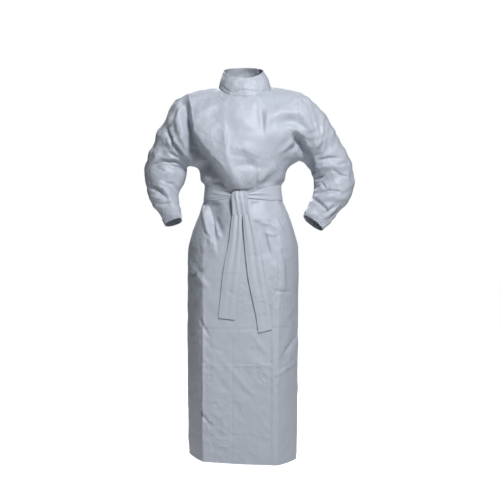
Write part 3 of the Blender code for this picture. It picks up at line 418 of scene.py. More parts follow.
GOWN_FOLDS = folds_on(
    Face.FRONT,
    # the long drag from the left armhole to the knot, and the hollow below it
    ((-189, -128, -127, -204, -65, -276, -10, -366), 83, 45, 21.7, 0.7),
    ((-182, -200, -127, -283, -72, -349), 41, 41, -23.2, 0.2),
    ((-130, -228, -85, -290, -51, -342), 17, 28, 7.8, 0.6),
    ((-196, -231, -161, -245, -134, -283), 17, 17, -12.4, 0.5),
    ((-130, -342, -79, -349, -34, -373), 12, 12, -7.8, 0.5),
    # pleats of the chest
    ((-61, -145, -58, -193, -51, -249), 9, 24, 7.4, 0.8),
    ((-51, -242, -30, -304, -6, -359), 14, 17, 4.7, 0.6),
    ((-41, -218, 8, -228, 56, -252), 35, 24, 6.8, 0.7),
    ((-16, -280, 32, -283, 73, -293), 24, 17, -7.4, 0.4),
    ((49, -283, 47, -331, 46, -373), 9, 14, -6.1, 0.9),
    ((-16, -297, -3, -366), 10, 10, 3.4, 0.7),
    ((11, -304, 4, -366), 9, 10, 2.7, 0.7),
    ((28, -314, 15, -369), 10, 10, 2.7, 0.7),
    ((-47, -48, -44, -145), 24, 24, -1.4, 0.0),
    # the hollow below the neck on the right
    ((87, -62, 84, -118, 77, -162), 31, 14, 6.5, 0.7),
    ((60, -55, 66, -104, 73, -159), 12, 21, -6.5, 0.5),
    # the right shoulder's ledge and its armpit
    ((94, -118, 132, -93, 208, -97), 38, 21, 9, 0.7),
    ((115, -131, 163, -124, 208, -135), 24, 24, -10.5, 0.2),
    ((208, -97, 239, -149, 256, -204, 242, -245), 31, 21, 10.5, 0.6),
    ((160, -145, 198, -166, 235, -180), 28, 10, 9, 0.8),
    ((187, -176, 212, -218, 236, -262), 24, 24, -42, 0.5),
    ((184, -183, 153, -211, 125, -238), 14, 14, 6.7, 0.8),
    ((194, -204, 163, -228), 14, 14, -7.5, 0.5),
    ((104, -266, 118, -297, 132, -331), 10, 31, 7.5, 0.8),
    ((66, -356, 97, -325, 122, -297), 24, 24, -9, 0.3),
    # the left shoulder
    ((-192, -125, -148, -97, -72, -55), 40, 22, 7.5, 0.5),
    ((-182, -69, -106, -45), 14, 17, 2.8, 0.5),
    # folds where the hips are pressed
    ((73, -507, 84, -549, 94, -590), 9, 14, -9, 0.7),
    ((42, -466, 80, -473), 10, 14, 6, 0.6),
    ((94, -473, 129, -538), 9, 10, -6, 0.7),
    ((118, -466, 142, -511), 9, 10, 5, 0.7),
    ((73, -601, 80, -718), 14, 14, 5, 0.5),
    ((135, -594, 142, -718), 17, 17, 7, 0.5),
    ((108, -714, 163, -721), 10, 10, -7, 0.7),
    ((-144, -414, -120, -497, -96, -580), 14, 21, 8, 0.6),
    ((-120, -449, -96, -538), 14, 14, -8, 0.6),
    ((-110, -452, -68, -525), 17, 14, -8, 0.6),
    ((-192, -614, -123, -704), 17, 17, 7, 0.6),
    ((-182, -659, -134, -642), 14, 14, -6, 0.6),
    # pack folds and crumples of the skirt
    ((-134, -746, -137, -1091, -141, -1308), 6, 6, 2.9, 0.9),
    ((106, -700, 105, -1022, 106, -1322), 6, 10, 4, 0.9),
    ((-37, -849, -37, -1315), 6, 6, -1.4, 0.9),
    ((-192, -846, -10, -846, 191, -842), 6, 6, -1.9, 0.9),
    ((-192, -973, -10, -973, 191, -970), 6, 6, 1.9, 0.9),
    ((-192, -1215, -10, -1211, 191, -1208), 6, 6, -1.9, 0.9),
    ((191, -880, 129, -956), 10, 14, -5.6, 0.6),
    ((111, -1004, 191, -970), 10, 14, 4.8, 0.6),
    ((-151, -811, -116, -873), 10, 10, -5.6, 0.6),
    ((-158, -1115, -113, -1180), 10, 10, -5.6, 0.6),
    # left sleeve
    ((-209, -48, -202, -105, -188, -165, -181, -218, -188, -265), 26, 24, -45, 0.4),
    ((-234, -62, -227, -148, -202, -222), 18, 18, 7.2, 0.5),
    ((-276, -144, -252, -190, -223, -236, -195, -272), 14, 11, -13, 0.8),
    ((-262, -140, -234, -194, -205, -243), 14, 14, 5.8, 0.6),
    ((-262, -229, -230, -247, -195, -272), 11, 11, -8.7, 0.8),
    ((-344, -289, -312, -268, -283, -257, -241, -261, -195, -282), 11, 11, -11.6, 0.8),
    ((-337, -318, -276, -293, -202, -311), 28, 32, 8.7, 0.3),
    ((-259, -272, -198, -286), 7, 7, -4.3, 0.7),
    ((-294, -289, -273, -296), 7, 7, -4.3, 0.7),
    ((-276, -335, -248, -339, -227, -367), 11, 11, -10.9, 0.7),
    ((-291, -343, -259, -350, -241, -385), 9, 9, -7.2, 0.7),
    ((-337, -350, -305, -360, -269, -389), 14, 12, -14.5, 0.5),
    ((-333, -382, -283, -392), 9, 9, 7.2, 0.6),
    ((-301, -204, -308, -247, -330, -282), 18, 25, 7.2, 0.6),
    ((-213, -38, -237, -84, -259, -130), 11, 11, -5.8, 0.7),
    ((-294, -155, -269, -137, -252, -133), 11, 11, -7.2, 0.7),
    ((-319, -406, -283, -413, -252, -406), 11, 11, -5.8, 0.6),
    # right sleeve
    ((248, -101, 263, -155, 266, -208), 11, 11, 7.5, 0.7),
    ((287, -105, 277, -162, 266, -215), 12, 12, 6.7, 0.7),
    ((294, -172, 302, -204, 291, -247), 9, 9, -7.5, 0.8),
    ((206, -250, 241, -275), 12, 12, -9, 0.5),
    ((241, -250, 248, -293, 248, -335), 11, 16, -13.5, 0.4),
    ((266, -257, 309, -247, 344, -247), 11, 11, -9.7, 0.8),
    ((259, -282, 316, -272, 376, -279), 21, 21, 6.7, 0.4),
    ((255, -318, 284, -311), 11, 11, -12, 0.6),
    ((280, -332, 294, -357), 8, 8, -7.5, 0.8),
    ((280, -332, 255, -357), 8, 8, -6, 0.8),
    ((259, -371, 305, -362, 344, -366), 9, 9, -9, 0.8),
    ((266, -392, 316, -385, 362, -392), 18, 18, 6, 0.4),
    ((319, -289, 348, -307, 383, -314), 9, 9, -7.5, 0.8),
    ((330, -272, 376, -261), 9, 9, -6.7, 0.8),
    ((387, -293, 397, -335), 14, 14, -7.5, 0.6),
    ((252, -392, 277, -410, 302, -438), 10, 10, -12, 0.7),
    ((287, -445, 326, -421), 9, 9, -9, 0.7),
    ((302, -467, 351, -431, 362, -403), 14, 14, -10.5, 0.5),
    # collar
    ((-38, -22, 4, -11, 53, -18), 6, 8, -3, 0.8),
    ((-77, 10, -59, -8, -38, -22), 7, 7, -3, 0.7),
    ((67, -18, 99, -1), 7, 7, -1.5, 0.6),
    # the shaded hollow of the belly beside the left tail
    ((-125, -402, -120, -450, -104, -520), 85, 18, -25, 0.1),
    ((-122, -446, -101, -492, -85, -520), 16, 10, 6, 0.9),
    ((-138, -507, -106.5, -538, -103, -563), 7, 8, -6, 0.9),
    # the bright facet on the right hip and its lower edge
    ((116, -610, 118, -712), 8, 34, 6.5, 0.8),
    ((60, -480, 86, -482, 112, -492), 8, 14, 6, 0.9),
    ((72, -512, 104, -522, 122, -512), 8, 10, 5, 0.9),
    ((28, -388, 40, -401, 52, -409), 6, 6, -5, 0.8),
    # shallow crumples of the lower skirt
    ((-90, -935, -40, -985, 30, -1060, 70, -1085), 16, 22, 2.2, 0.7),
    ((-100, -990, -70, -1045, -30, -1065), 14, 18, -2.2, 0.7),
    ((-15, -1010, 10, -1050, 45, -1075), 10, 12, 1.9, 0.9),
    ((35, -870, 70, -915, 90, -930), 14, 14, 2.2, 0.8),
    ((-135, -870, -110, -910, -60, -925), 16, 12, -1.9, 0.7),
    ((-20, -1090, -10, -1140, 10, -1165), 12, 16, -1.9, 0.7),
    ((20, -1205, 75, -1212, 100, -1225), 8, 12, 1.9, 0.9),
    ((-135, -1130, -110, -1160, -85, -1180), 10, 12, 2.2, 0.9),
    ((185, -885, 150, -950, 112, -990), 12, 16, -3.1, 0.8),
    ((-80, -1205, -20, -1212), 8, 10, -1.5, 0.8),
    ((50, -1130, 82, -1180, 104, -1205), 12, 14, 1.9, 0.7),
) + folds_on(
    Face.BACK,
    # the back: drags from both armholes to the belt
    ((-180, -120, -120, -220, -60, -330), 45, 60, 12, 0.6),
    ((185, -115, 125, -215, 70, -330), 60, 45, 12, 0.6),
    ((-150, -215, -85, -330), 30, 30, -11, 0.4),
    ((155, -205, 90, -325), 30, 30, -11, 0.4),
    ((-190, -70, -120, -110, -50, -105), 26, 22, 5, 0.6),
    ((190, -80, 110, -120, 50, -110), 22, 26, 5, 0.6),
    ((-120, -150, -60, -200, -20, -290), 16, 20, -5, 0.7),
    ((110, -160, 70, -230, 50, -300), 16, 20, -5, 0.7),
    ((-195, -150, -160, -240), 22, 22, -12, 0.4),
    ((200, -140, 165, -235), 22, 22, -12, 0.4),
    # the back: pack folds and folds of the skirt
    ((-128, -560, -128, -1305), 7, 7, 2, 0.9),
    ((128, -560, 128, -1305), 7, 7, 2, 0.9),
    ((-190, -844, 0, -845, 190, -843), 6, 6, -1.2, 0.9),
    ((-190, -972, 0, -973, 190, -971), 6, 6, 1.2, 0.9),
    ((-190, -1213, 0, -1211, 190, -1210), 6, 6, -1.2, 0.9),
    ((-110, -470, -125, -580, -120, -700), 22, 30, -7, 0.5),
    ((95, -470, 118, -570, 130, -680), 30, 22, -7, 0.5),
    ((-60, -440, -75, -540), 14, 18, 4, 0.6),
    ((45, -440, 60, -530), 14, 18, 4, 0.6),
    ((150, -860, 100, -930), 16, 22, -5, 0.6),
    ((-160, -1050, -110, -1120), 16, 22, -4.5, 0.6),
    ((20, -1080, 70, -1150), 14, 16, -3, 0.6),
    # the backs of the sleeves
    ((-205, -60, -225, -150, -210, -250), 20, 30, -11, 0.4),
    ((-300, -160, -250, -220, -208, -268), 14, 12, -8, 0.7),
    ((-345, -290, -280, -283, -215, -292), 12, 12, -8, 0.7),
    ((-340, -320, -280, -318, -220, -330), 20, 22, 5, 0.4),
    ((-330, -360, -280, -352, -235, -380), 10, 10, -6, 0.7),
    ((-310, -400, -260, -395), 9, 9, -4.5, 0.7),
    ((-325, -205, -270, -235), 10, 12, -4.5, 0.7),
    ((212, -60, 235, -150, 218, -240), 30, 20, -11, 0.4),
    ((320, -170, 270, -225, 220, -250), 12, 14, -8, 0.7),
    ((395, -290, 330, -296, 262, -310), 12, 12, -8, 0.7),
    ((385, -330, 320, -335, 265, -345), 20, 22, 5, 0.4),
    ((370, -380, 320, -372, 265, -372), 10, 10, -6, 0.7),
    ((345, -425, 295, -410, 255, -402), 9, 9, -5, 0.7),
    ((360, -225, 305, -250), 10, 12, -4.5, 0.7),
)

BELT_FOLDS = folds_on(
    Face.FRONT,
    # pleats that fan out from the knot on the right
    ((15, -379, 50, -376, 95, -374), 5, 5, 3, 0.7),
    ((15, -385, 55, -385, 100, -386), 4, 4, -2.2, 0.8),
    ((15, -391, 50, -393, 90, -393), 5, 5, 2.8, 0.7),
    # and on the left
    ((-36, -383, -70, -380, -110, -371), 5, 5, 3.2, 0.7),
    ((-36, -389, -75, -391, -125, -395), 4, 4, -2.2, 0.8),
    ((-36, -377, -70, -369, -105, -358), 4, 4, -2.2, 0.8),
) + folds_on(
    Face.BACK,
    # lengthwise creases at the sides and the back
    ((-110, -378, 0, -372, 110, -377), 6, 6, -1.2, 0.7),
    ((-80, -360, 60, -364), 5, 5, 1, 0.7),
)

TAIL_FOLDS = folds_on(
    Face.FRONT,
    ((-72, -645, -45, -650, -12, -645), 6, 6, 1.6, 0.8),
    ((-80, -735, -50, -712, -20, -738), 7, 7, -1.8, 0.8),
    ((12, -598, 40, -590, 66, -602), 6, 6, -1.6, 0.8),
    ((32, -752, 60, -745, 88, -748), 6, 8, 2, 0.8),
    ((48, -805, 70, -795, 96, -806), 6, 6, -1.4, 0.8),
)


def smooth(value: float) -> float:
    """Ease from 0 to 1 as the value goes from 0 to 1."""
    value = min(max(value, 0.0), 1.0)
    return value * value * (3.0 - 2.0 * value)


def smooth_array(value: np.ndarray) -> np.ndarray:
    """Ease every value of an array from 0 to 1."""
    value = np.clip(value, 0.0, 1.0)
    return value * value * (3.0 - 2.0 * value)


def limited_slope(before: np.ndarray, after: np.ndarray) -> np.ndarray:
    """Slope of a curve that passes a row without running past its neighbours."""
    same_way = before * after > 0.0
    total = np.where(same_way, before + after, 1.0)
    return np.where(same_way, 2.0 * before * after / total, 0.0)


def steps_between(rows: Sequence, height: float) -> list[int]:
    """Number of steps of about one height from each row of a table to the next."""
    return [max(1, round(abs(b.z - a.z) / height)) for a, b in zip(rows, rows[1:])]


def column_spline(rows: Sequence, steps: list[int]) -> np.ndarray:
    """Interpolate the columns of a table smoothly.

    Args:
        rows: the table, equally long rows of numbers.
        steps: the number of steps from each row to the next.

    Returns:
        The finer table.
    """
    table = np.array(rows, dtype=float)
    result = []
    for index in range(len(table) - 1):
        start = table[index]
        end = table[index + 1]
        before = table[max(index - 1, 0)]
        after = table[min(index + 2, len(table) - 1)]
        slope_start = limited_slope(start - before, end - start)
        slope_end = limited_slope(end - start, after - end)
        for step in range(steps[index]):
            t = step / steps[index]
            result.append(
                (2 * t ** 3 - 3 * t ** 2 + 1) * start
                + (t ** 3 - 2 * t ** 2 + t) * slope_start
                + (3 * t ** 2 - 2 * t ** 3) * end
                + (t ** 3 - t ** 2) * slope_end
            )
    result.append(table[-1])
    return np.array(result)


def surface_normals(grid: np.ndarray, ring: bool) -> np.ndarray:
    """Unit normals of a grid of points, all on one side of it."""
    if ring:
        across = np.roll(grid, -1, axis=1) - np.roll(grid, 1, axis=1)
    else:
        across = np.gradient(grid, axis=1)
    normals = np.cross(across, np.gradient(grid, axis=0))
    return normals / np.maximum(np.linalg.norm(normals, axis=2, keepdims=True), TINY)


@dataclass
class GownForm:
    """The smooth form that every piece of the gown lies on."""

    levels: np.ndarray = field(init=False)
    chest: np.ndarray = field(init=False)

    def __post_init__(self) -> None:
        """Work out the fine tables."""
        self.levels = column_spline([row[1:] for row in BODY_ROWS], steps_between(BODY_ROWS, ROW_STEP))
        self.chest = column_spline(CHEST_ROWS, [CHEST_STEPS] * (len(CHEST_ROWS) - 1))

    def armhole_point(self, side: Side, face: Face, t: float) -> np.ndarray:
        """Point of an armhole's seam, from the underarm at 0 to the shoulder at 1."""
        hole = ARMHOLES[side]
        rise = 0.5 * (1.0 - math.cos(math.pi * t))
        bow = max(math.sin(math.pi * t), 0.0)
        point = np.array(hole.under) * (1.0 - rise) + np.array(hole.tip) * rise
        point[0] += (1.0 if side is Side.LEFT else -1.0) * hole.pinch * bow * bow
        point[1] += face.value * hole.depth * bow ** FULLNESS
        return point

    def ring_point(self, centre: tuple, radius: tuple, angle: float, lift: float = 0.0) -> np.ndarray:
        """Point of a round that falls to the front, at an angle with 270 in front."""
        across = radius[0] * math.cos(math.radians(angle))
        deep = radius[1] * math.sin(math.radians(angle))
        mean = 0.5 * (NECK_FALL + NECK_RISE)
        bend = 0.5 * (NECK_FALL - NECK_RISE)
        height = mean * deep - bend * (math.hypot(deep, NECK_BEND) - NECK_BEND)
        return np.array(centre) + np.array((across, deep + lift, height))

    def neck_angle(self, face: Face, u: float) -> float:
        """Angle round the neck of a column of the front or the back."""
        return 180.0 - face.value * 90.0 * (u / NECK_U + 1.0)

    def shoulder_line(self, face: Face, u: float) -> np.ndarray:
        """Top edge of a panel: one shoulder seam, the neckline, the other seam."""
        if abs(u) <= NECK_U + TINY:
            return self.ring_point(NECK_CENTRE, NECK_RADIUS, self.neck_angle(face, u))
        side = Side.LEFT if u < 0 else Side.RIGHT
        neck = self.ring_point(NECK_CENTRE, NECK_RADIUS, 180.0 if u < 0 else 0.0)
        tip = np.array(ARMHOLES[side].tip)
        share = (abs(u) - NECK_U) / (1.0 - NECK_U)
        point = neck + (tip - neck) * share
        point[2] = neck[2] + (tip[2] - neck[2]) * share ** SHOULDER_SAG
        return point

    def section_point(self, u: float, left: tuple, right: tuple, middle: tuple,
                      span: float, box: float) -> np.ndarray:
        """Point of one row of a panel between its two ends.

        Args:
            u: column position, -1 at the left end and 1 at the right one.
            left: the left end.
            right: the right end.
            middle: the middle of the row.
            span: degrees of arc on each side of the middle.
            box: 0 for a round row, 1 for a flat stretch with two straight flanks.

        Returns:
            The point.
        """
        reach = math.radians(span)
        turn = abs(u) * reach
        across = math.sin(turn) / math.sin(reach)
        drop = (1.0 - math.cos(turn)) / (1.0 - math.cos(reach))
        if abs(u) < CORNER_U:
            flat_across = abs(u) / CORNER_U * CORNER_X
            flat_drop = 0.0
        else:
            flank = (abs(u) - CORNER_U) / (1.0 - CORNER_U)
            quarter = 0.5 * math.pi * flank
            bulge = math.sin(quarter) * FLANK_ROUND + flank * (1.0 - FLANK_ROUND)
            flat_across = CORNER_X + (1.0 - CORNER_X) * bulge
            flat_drop = (1.0 - math.cos(quarter)) * FLANK_ROUND + flank * (1.0 - FLANK_ROUND)
        across += (flat_across - across) * box
        drop += (flat_drop - drop) * box
        end = left if u < 0 else right
        return np.array((
            middle[0] + (end[0] - middle[0]) * across,
            middle[1] + (end[1] - middle[1]) * drop,
            middle[2] + (end[2] - middle[2]) * across,
        ))

    def body_point(self, face: Face, u: float, level: np.ndarray) -> np.ndarray:
        """Point of a panel on a row below the arms."""
        z, tilt, left, right, front, back, box, wing, dip = level
        left_end = (left + wing, 0.0, z - 0.5 * tilt)
        right_end = (right - wing, 0.0, z + 0.5 * tilt)
        depth = front if face is Face.FRONT else back
        middle = (0.5 * (left + right) - face.value * FRONT_SHIFT * box, depth, z)
        point = self.section_point(u, left_end, right_end, middle, 90.0, box)
        point[0] += math.copysign(wing * abs(u) ** WING_POWER, u)
        if face is Face.FRONT:
            point[2] -= dip * smooth(1.0 - abs(u - DIP_U) / DIP_REACH)
        return point

    def chest_point(self, face: Face, u: float, t: float) -> np.ndarray:
        """Point of a panel on a row beside the armholes."""
        column = 1 if face is Face.FRONT else 2
        depth = np.interp(t, self.chest[:, 0], self.chest[:, column])
        span = np.interp(t, self.chest[:, 0], self.chest[:, 3])
        left_end = self.armhole_point(Side.LEFT, face, t)
        right_end = self.armhole_point(Side.RIGHT, face, t)
        rise = 0.5 * (1.0 - math.cos(math.pi * t))
        top = self.shoulder_line(face, 0.0)
        bottom = BODY_ROWS[-1]
        middle_x = 0.5 * (bottom.left + bottom.right) * (1.0 - rise) + top[0] * rise
        middle = (middle_x, depth, bottom.z * (1.0 - rise) + top[2] * rise)
        wing = bottom.wing * (1.0 - t) ** 3
        turned = smooth(t / WING_FADE)
        near_left = (left_end[0] + wing, left_end[1] * turned, left_end[2])
        near_right = (right_end[0] - wing, right_end[1] * turned, right_end[2])
        side = Side.LEFT if u < 0 else Side.RIGHT
        end = left_end if u < 0 else right_end
        row = self.section_point(u, near_left, near_right, middle, span, 0.0)
        row[0] += math.copysign(wing * abs(u) ** WING_POWER, u)
        row[1] += end[1] * (1.0 - turned) * abs(u) ** WING_POWER
        pull = end - np.array(ARMHOLES[side].tip)
        hung = self.shoulder_line(face, u) + pull * abs(u) ** HANG_POWER
        return row + (hung - row) * smooth((t - HANG_START) / (1.0 - HANG_START))

    def gather_height(self, u: float, z: float) -> float:
        """Height of the gathers that the belt draws in above and below itself."""
        edge = abs(z - BELT_Z) - BELT_HALF
        if edge <= 0.0:
            return 0.0
        fade = smooth(edge / GATHER_START) * math.exp(-((edge / GATHER_REACH) ** 2))
        fade *= smooth((1.0 - abs(u)) / GATHER_INSET)
        phase = GATHER_PHASES[0] if z > BELT_Z else GATHER_PHASES[1]
        wave = math.cos(math.pi * GATHER_COUNT * u + phase)
        second = math.cos(math.pi * (GATHER_COUNT - 2) * u + GATHER_SECOND_PHASE * phase)
        return GATHER_DEPTH * (wave + GATHER_SECOND * second) * fade

    def panel(self, face: Face) -> np.ndarray:
        """The whole front or back, from the hem up to the shoulders."""
        positions = np.linspace(-1.0, 1.0, PANEL_COLUMNS + 1)
        rows = []
        for level in self.levels:
            row = []
            for u in positions:
                outward = np.array((u, face.value * math.sqrt(max(1.0 - u * u, 0.0)), 0.0))
                row.append(self.body_point(face, u, level) + outward * self.gather_height(u, level[0]))
            rows.append(row)
        for step in range(1, ARMHOLE_STEPS + 1):
            rows.append([self.chest_point(face, u, step / ARMHOLE_STEPS) for u in positions])
        grid = np.array(rows)
        low = len(self.levels) - CHEST_EASE
        for _ in range(CHEST_EASE):
            inner = grid[low:-1, 1:-1]
            beside = grid[low:-1, 2:] + grid[low:-1, :-2]
            above = grid[low + 1:, 1:-1] + grid[low - 1:-2, 1:-1]
            grid[low:-1, 1:-1] = CHEST_KEEP * inner + (1.0 - CHEST_KEEP) / 4.0 * (beside + above)
        return grid

    def back_lift(self, u: float) -> float:
        """How far the right back panel is raised at a column."""
        return BACK_LIFT * smooth((LIFT_START - u) / (LIFT_START - LIFT_END))

    def level_at(self, z: float) -> np.ndarray:
        """The row of the gown at a height below the overhang."""
        top = next(row.z for row in BODY_ROWS if row.name == "belt high")
        below = self.levels[self.levels[:, 0] <= top + TINY]
        return np.array([np.interp(z, below[:, 0], column) for column in below.T])

    def front_depth(self, x: float, z: float) -> float:
        """The y of the gown's front at a place of the front view."""
        level = self.level_at(z)
        low = -1.0
        high = 1.0
        for _ in range(HALVINGS):
            half = 0.5 * (low + high)
            if self.body_point(Face.FRONT, half, level)[0] < x:
                low = half
            else:
                high = half
        return float(self.body_point(Face.FRONT, low, level)[1])


class CreaseWave(NamedTuple):
    """One set of straight creases that run through the cloth side by side."""

    across: tuple[float, float, float]      # direction from one crease to the next
    length: float                           # from one ridge to the next
    phase: float
    share: float                            # part of the full depth
    patch: tuple[float, float, float]       # direction and pace in which the set fades


CREASE_WAVES = (
    CreaseWave((0.80, 0.25, 0.55), 0.105, 0.10, 1.00, (21.0, 9.0, -14.0)),
    CreaseWave((-0.55, 0.30, 0.78), 0.088, 0.45, 0.90, (-12.0, 15.0, 19.0)),
    CreaseWave((0.15, -0.45, 0.88), 0.071, 0.80, 0.75, (25.0, 10.0, 8.0)),
    CreaseWave((0.95, -0.25, -0.20), 0.083, 0.30, 0.60, (9.0, -18.0, 24.0)),
    CreaseWave((0.50, 0.60, -0.62), 0.051, 0.65, 0.50, (-30.0, 14.0, 17.0)),
    CreaseWave((-0.75, -0.35, -0.56), 0.043, 0.20, 0.42, (28.0, -22.0, 31.0)),
    CreaseWave((0.35, 0.20, -0.91), 0.034, 0.55, 0.34, (-37.0, 25.0, 20.0)),
    CreaseWave((-0.90, 0.40, 0.15), 0.029, 0.95, 0.26, (33.0, 29.0, -36.0)),
)


@dataclass(frozen=True)
class Crumple:
    """The small flat facets that all the cloth has, deeper on the sleeves."""

    skirt: float = 0.0016       # depth on the skirt
    bodice: float = 0.0024      # on the bodice
    arm: float = 0.0056         # and on the sleeves
    wander: float = 0.016       # how far the creases bend
    pace: float = 13.0          # how often they bend
    ripple: float = 0.4         # part of that bend which comes again, finer
    ripple_pace: float = 2.3    # and how much finer
    middle_x: float = 0.004     # the gown's middle
    arm_x: float = 0.17         # how far from it the sleeves' facets begin
    arm_fade: float = 0.06
    arm_low: float = -0.50      # the sleeves' lower end
    arm_low_fade: float = 0.03
    chest_low: float = -0.40    # the bodice's lower end
    chest_fade: float = 0.05
    patch_mean: float = 0.5     # how much of the cloth each set covers
    patch_change: float = 0.9

    def depth(self, points: np.ndarray) -> np.ndarray:
        """Depth of the facets at each point."""
        arm = smooth_array((np.abs(points[..., 0] - self.middle_x) - self.arm_x) / self.arm_fade)
        arm = arm * smooth_array((points[..., 2] - self.arm_low) / self.arm_low_fade)
        chest = smooth_array((points[..., 2] - self.chest_low) / self.chest_fade)
        body = self.skirt + (self.bodice - self.skirt) * chest
        return body + (self.arm - body) * arm

    def heights(self, points: np.ndarray) -> np.ndarray:
        """Give the facets' height at each point, the same for every piece.

        Args:
            points: an array of points, the last axis being x, y and z.

        Returns:
            The heights in metres.
        """
        turned = np.roll(points, 1, axis=-1) + 0.7 * np.roll(points, 2, axis=-1)
        bent = points + self.wander * np.sin(self.pace * turned + 1.3)
        finer = np.sin(self.ripple_pace * self.pace * turned[..., ::-1] + 0.4)
        bent = bent + self.ripple * self.wander * finer
        total = np.zeros(points.shape[:-1])
        for wave in CREASE_WAVES:
            place = (bent @ np.array(wave.across)) / wave.length + wave.phase
            facet = np.abs(2.0 * (place - np.floor(place)) - 1.0) - 0.5
            covered = np.sin(points @ np.array(wave.patch) + 6.0 * wave.phase)
            patch = self.patch_mean + self.patch_change * covered
            total += facet * wave.share * np.clip(patch, 0.0, 1.0)
        return total * self.depth(points)


@dataclass
class SeamBook:
    """The outward directions of all pieces at every point of their open edges."""

    step: float = 0.00002
    normals: dict = field(default_factory=dict)

    def key(self, point: np.ndarray) -> tuple[int, ...]:
        """Name a point by its place."""
        return tuple(int(round(value / self.step)) for value in point)

    def add(self, grid: np.ndarray, normals: np.ndarray, ring: bool) -> None:
        """Note the normals along a grid's open edges."""
        for row, column in edge_places(grid, ring):
            self.normals.setdefault(self.key(grid[row, column]), []).append(normals[row, column])

    def settle(self, grid: np.ndarray, normals: np.ndarray, ring: bool) -> np.ndarray:
        """Give a grid's normals with those on its edges shared with its neighbours."""
        result = normals.copy()
        for row, column in edge_places(grid, ring):
            mean = np.sum(self.normals[self.key(grid[row, column])], axis=0)
            result[row, column] = mean / max(float(np.linalg.norm(mean)), TINY)
        return result


def edge_places(grid: np.ndarray, ring: bool) -> list[tuple[int, int]]:
    """Row and column of every point on a grid's open edges."""
    rows, columns = grid.shape[:2]
    places = [(row, column) for row in (0, rows - 1) for column in range(columns)]
    if not ring:
        places += [(row, column) for row in range(1, rows - 1) for column in (0, columns - 1)]
    return places


def linked(name: str, data: bpy.types.ID) -> bpy.types.Object:
    """Make an object and put it into the scene."""
    item = bpy.data.objects.new(name, data)
    bpy.context.scene.collection.objects.link(item)
    return item


def object_from(name: str, body: bmesh.types.BMesh, material: bpy.types.Material) -> bpy.types.Object:
    """Turn a finished mesh in the making into an object with its finish."""
    mesh = bpy.data.meshes.new(name)
    body.to_mesh(mesh)
    body.free()
    mesh.materials.append(material)
    return linked(name, mesh)


@dataclass
class Stitching:
    """Rows of short stitches that lie on the cloth along its seams and edges."""

    length: float = 0.0030
    gap: float = 0.0018
    width: float = 0.0006
    stand: float = 0.0004
    spots: list = field(default_factory=list)

    def along(self, points: np.ndarray, normals: np.ndarray) -> None:
        """Set stitches along a line on the cloth.

        Args:
            points: the line's points.
            normals: the cloth's outward normals there.
        """
        steps = np.linalg.norm(np.diff(points, axis=0), axis=1)
        reach = np.concatenate(((0.0,), np.cumsum(steps)))
        pitch = self.length + self.gap
        for start in np.arange(self.gap, reach[-1] - pitch, pitch):
            middle = start + 0.5 * self.length
            place = [np.interp(middle, reach, points[:, axis]) for axis in range(3)]
            ahead = [np.interp(start + self.length, reach, points[:, axis]) for axis in range(3)]
            out = [np.interp(middle, reach, normals[:, axis]) for axis in range(3)]
            self.spots.append((Vector(place), Vector(ahead) - Vector(place), Vector(out)))

    def build(self, material: bpy.types.Material) -> bpy.types.Object:
        """Make all stitches as one object, each a small bar.

        Args:
            material: the thread's finish.

        Returns:
            The object, riding on the gown.
        """
        thread = bmesh.new()
        thread.loops.layers.uv.new("UVMap")
        for place, ahead, out in self.spots:
            along = ahead.normalized()
            side = out.cross(along).normalized()
            up = along.cross(side)
            turn = Matrix((along, side, up)).transposed().to_4x4()
            size = Matrix.Diagonal((self.length, self.width, self.stand, 1.0))
            bmesh.ops.create_cube(thread, size=1.0, matrix=Matrix.Translation(place) @ turn @ size)
        item = object_from("stitches", thread, material)
        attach(item, BODY)
        log.info("stitches: %d", len(self.spots))
        return item


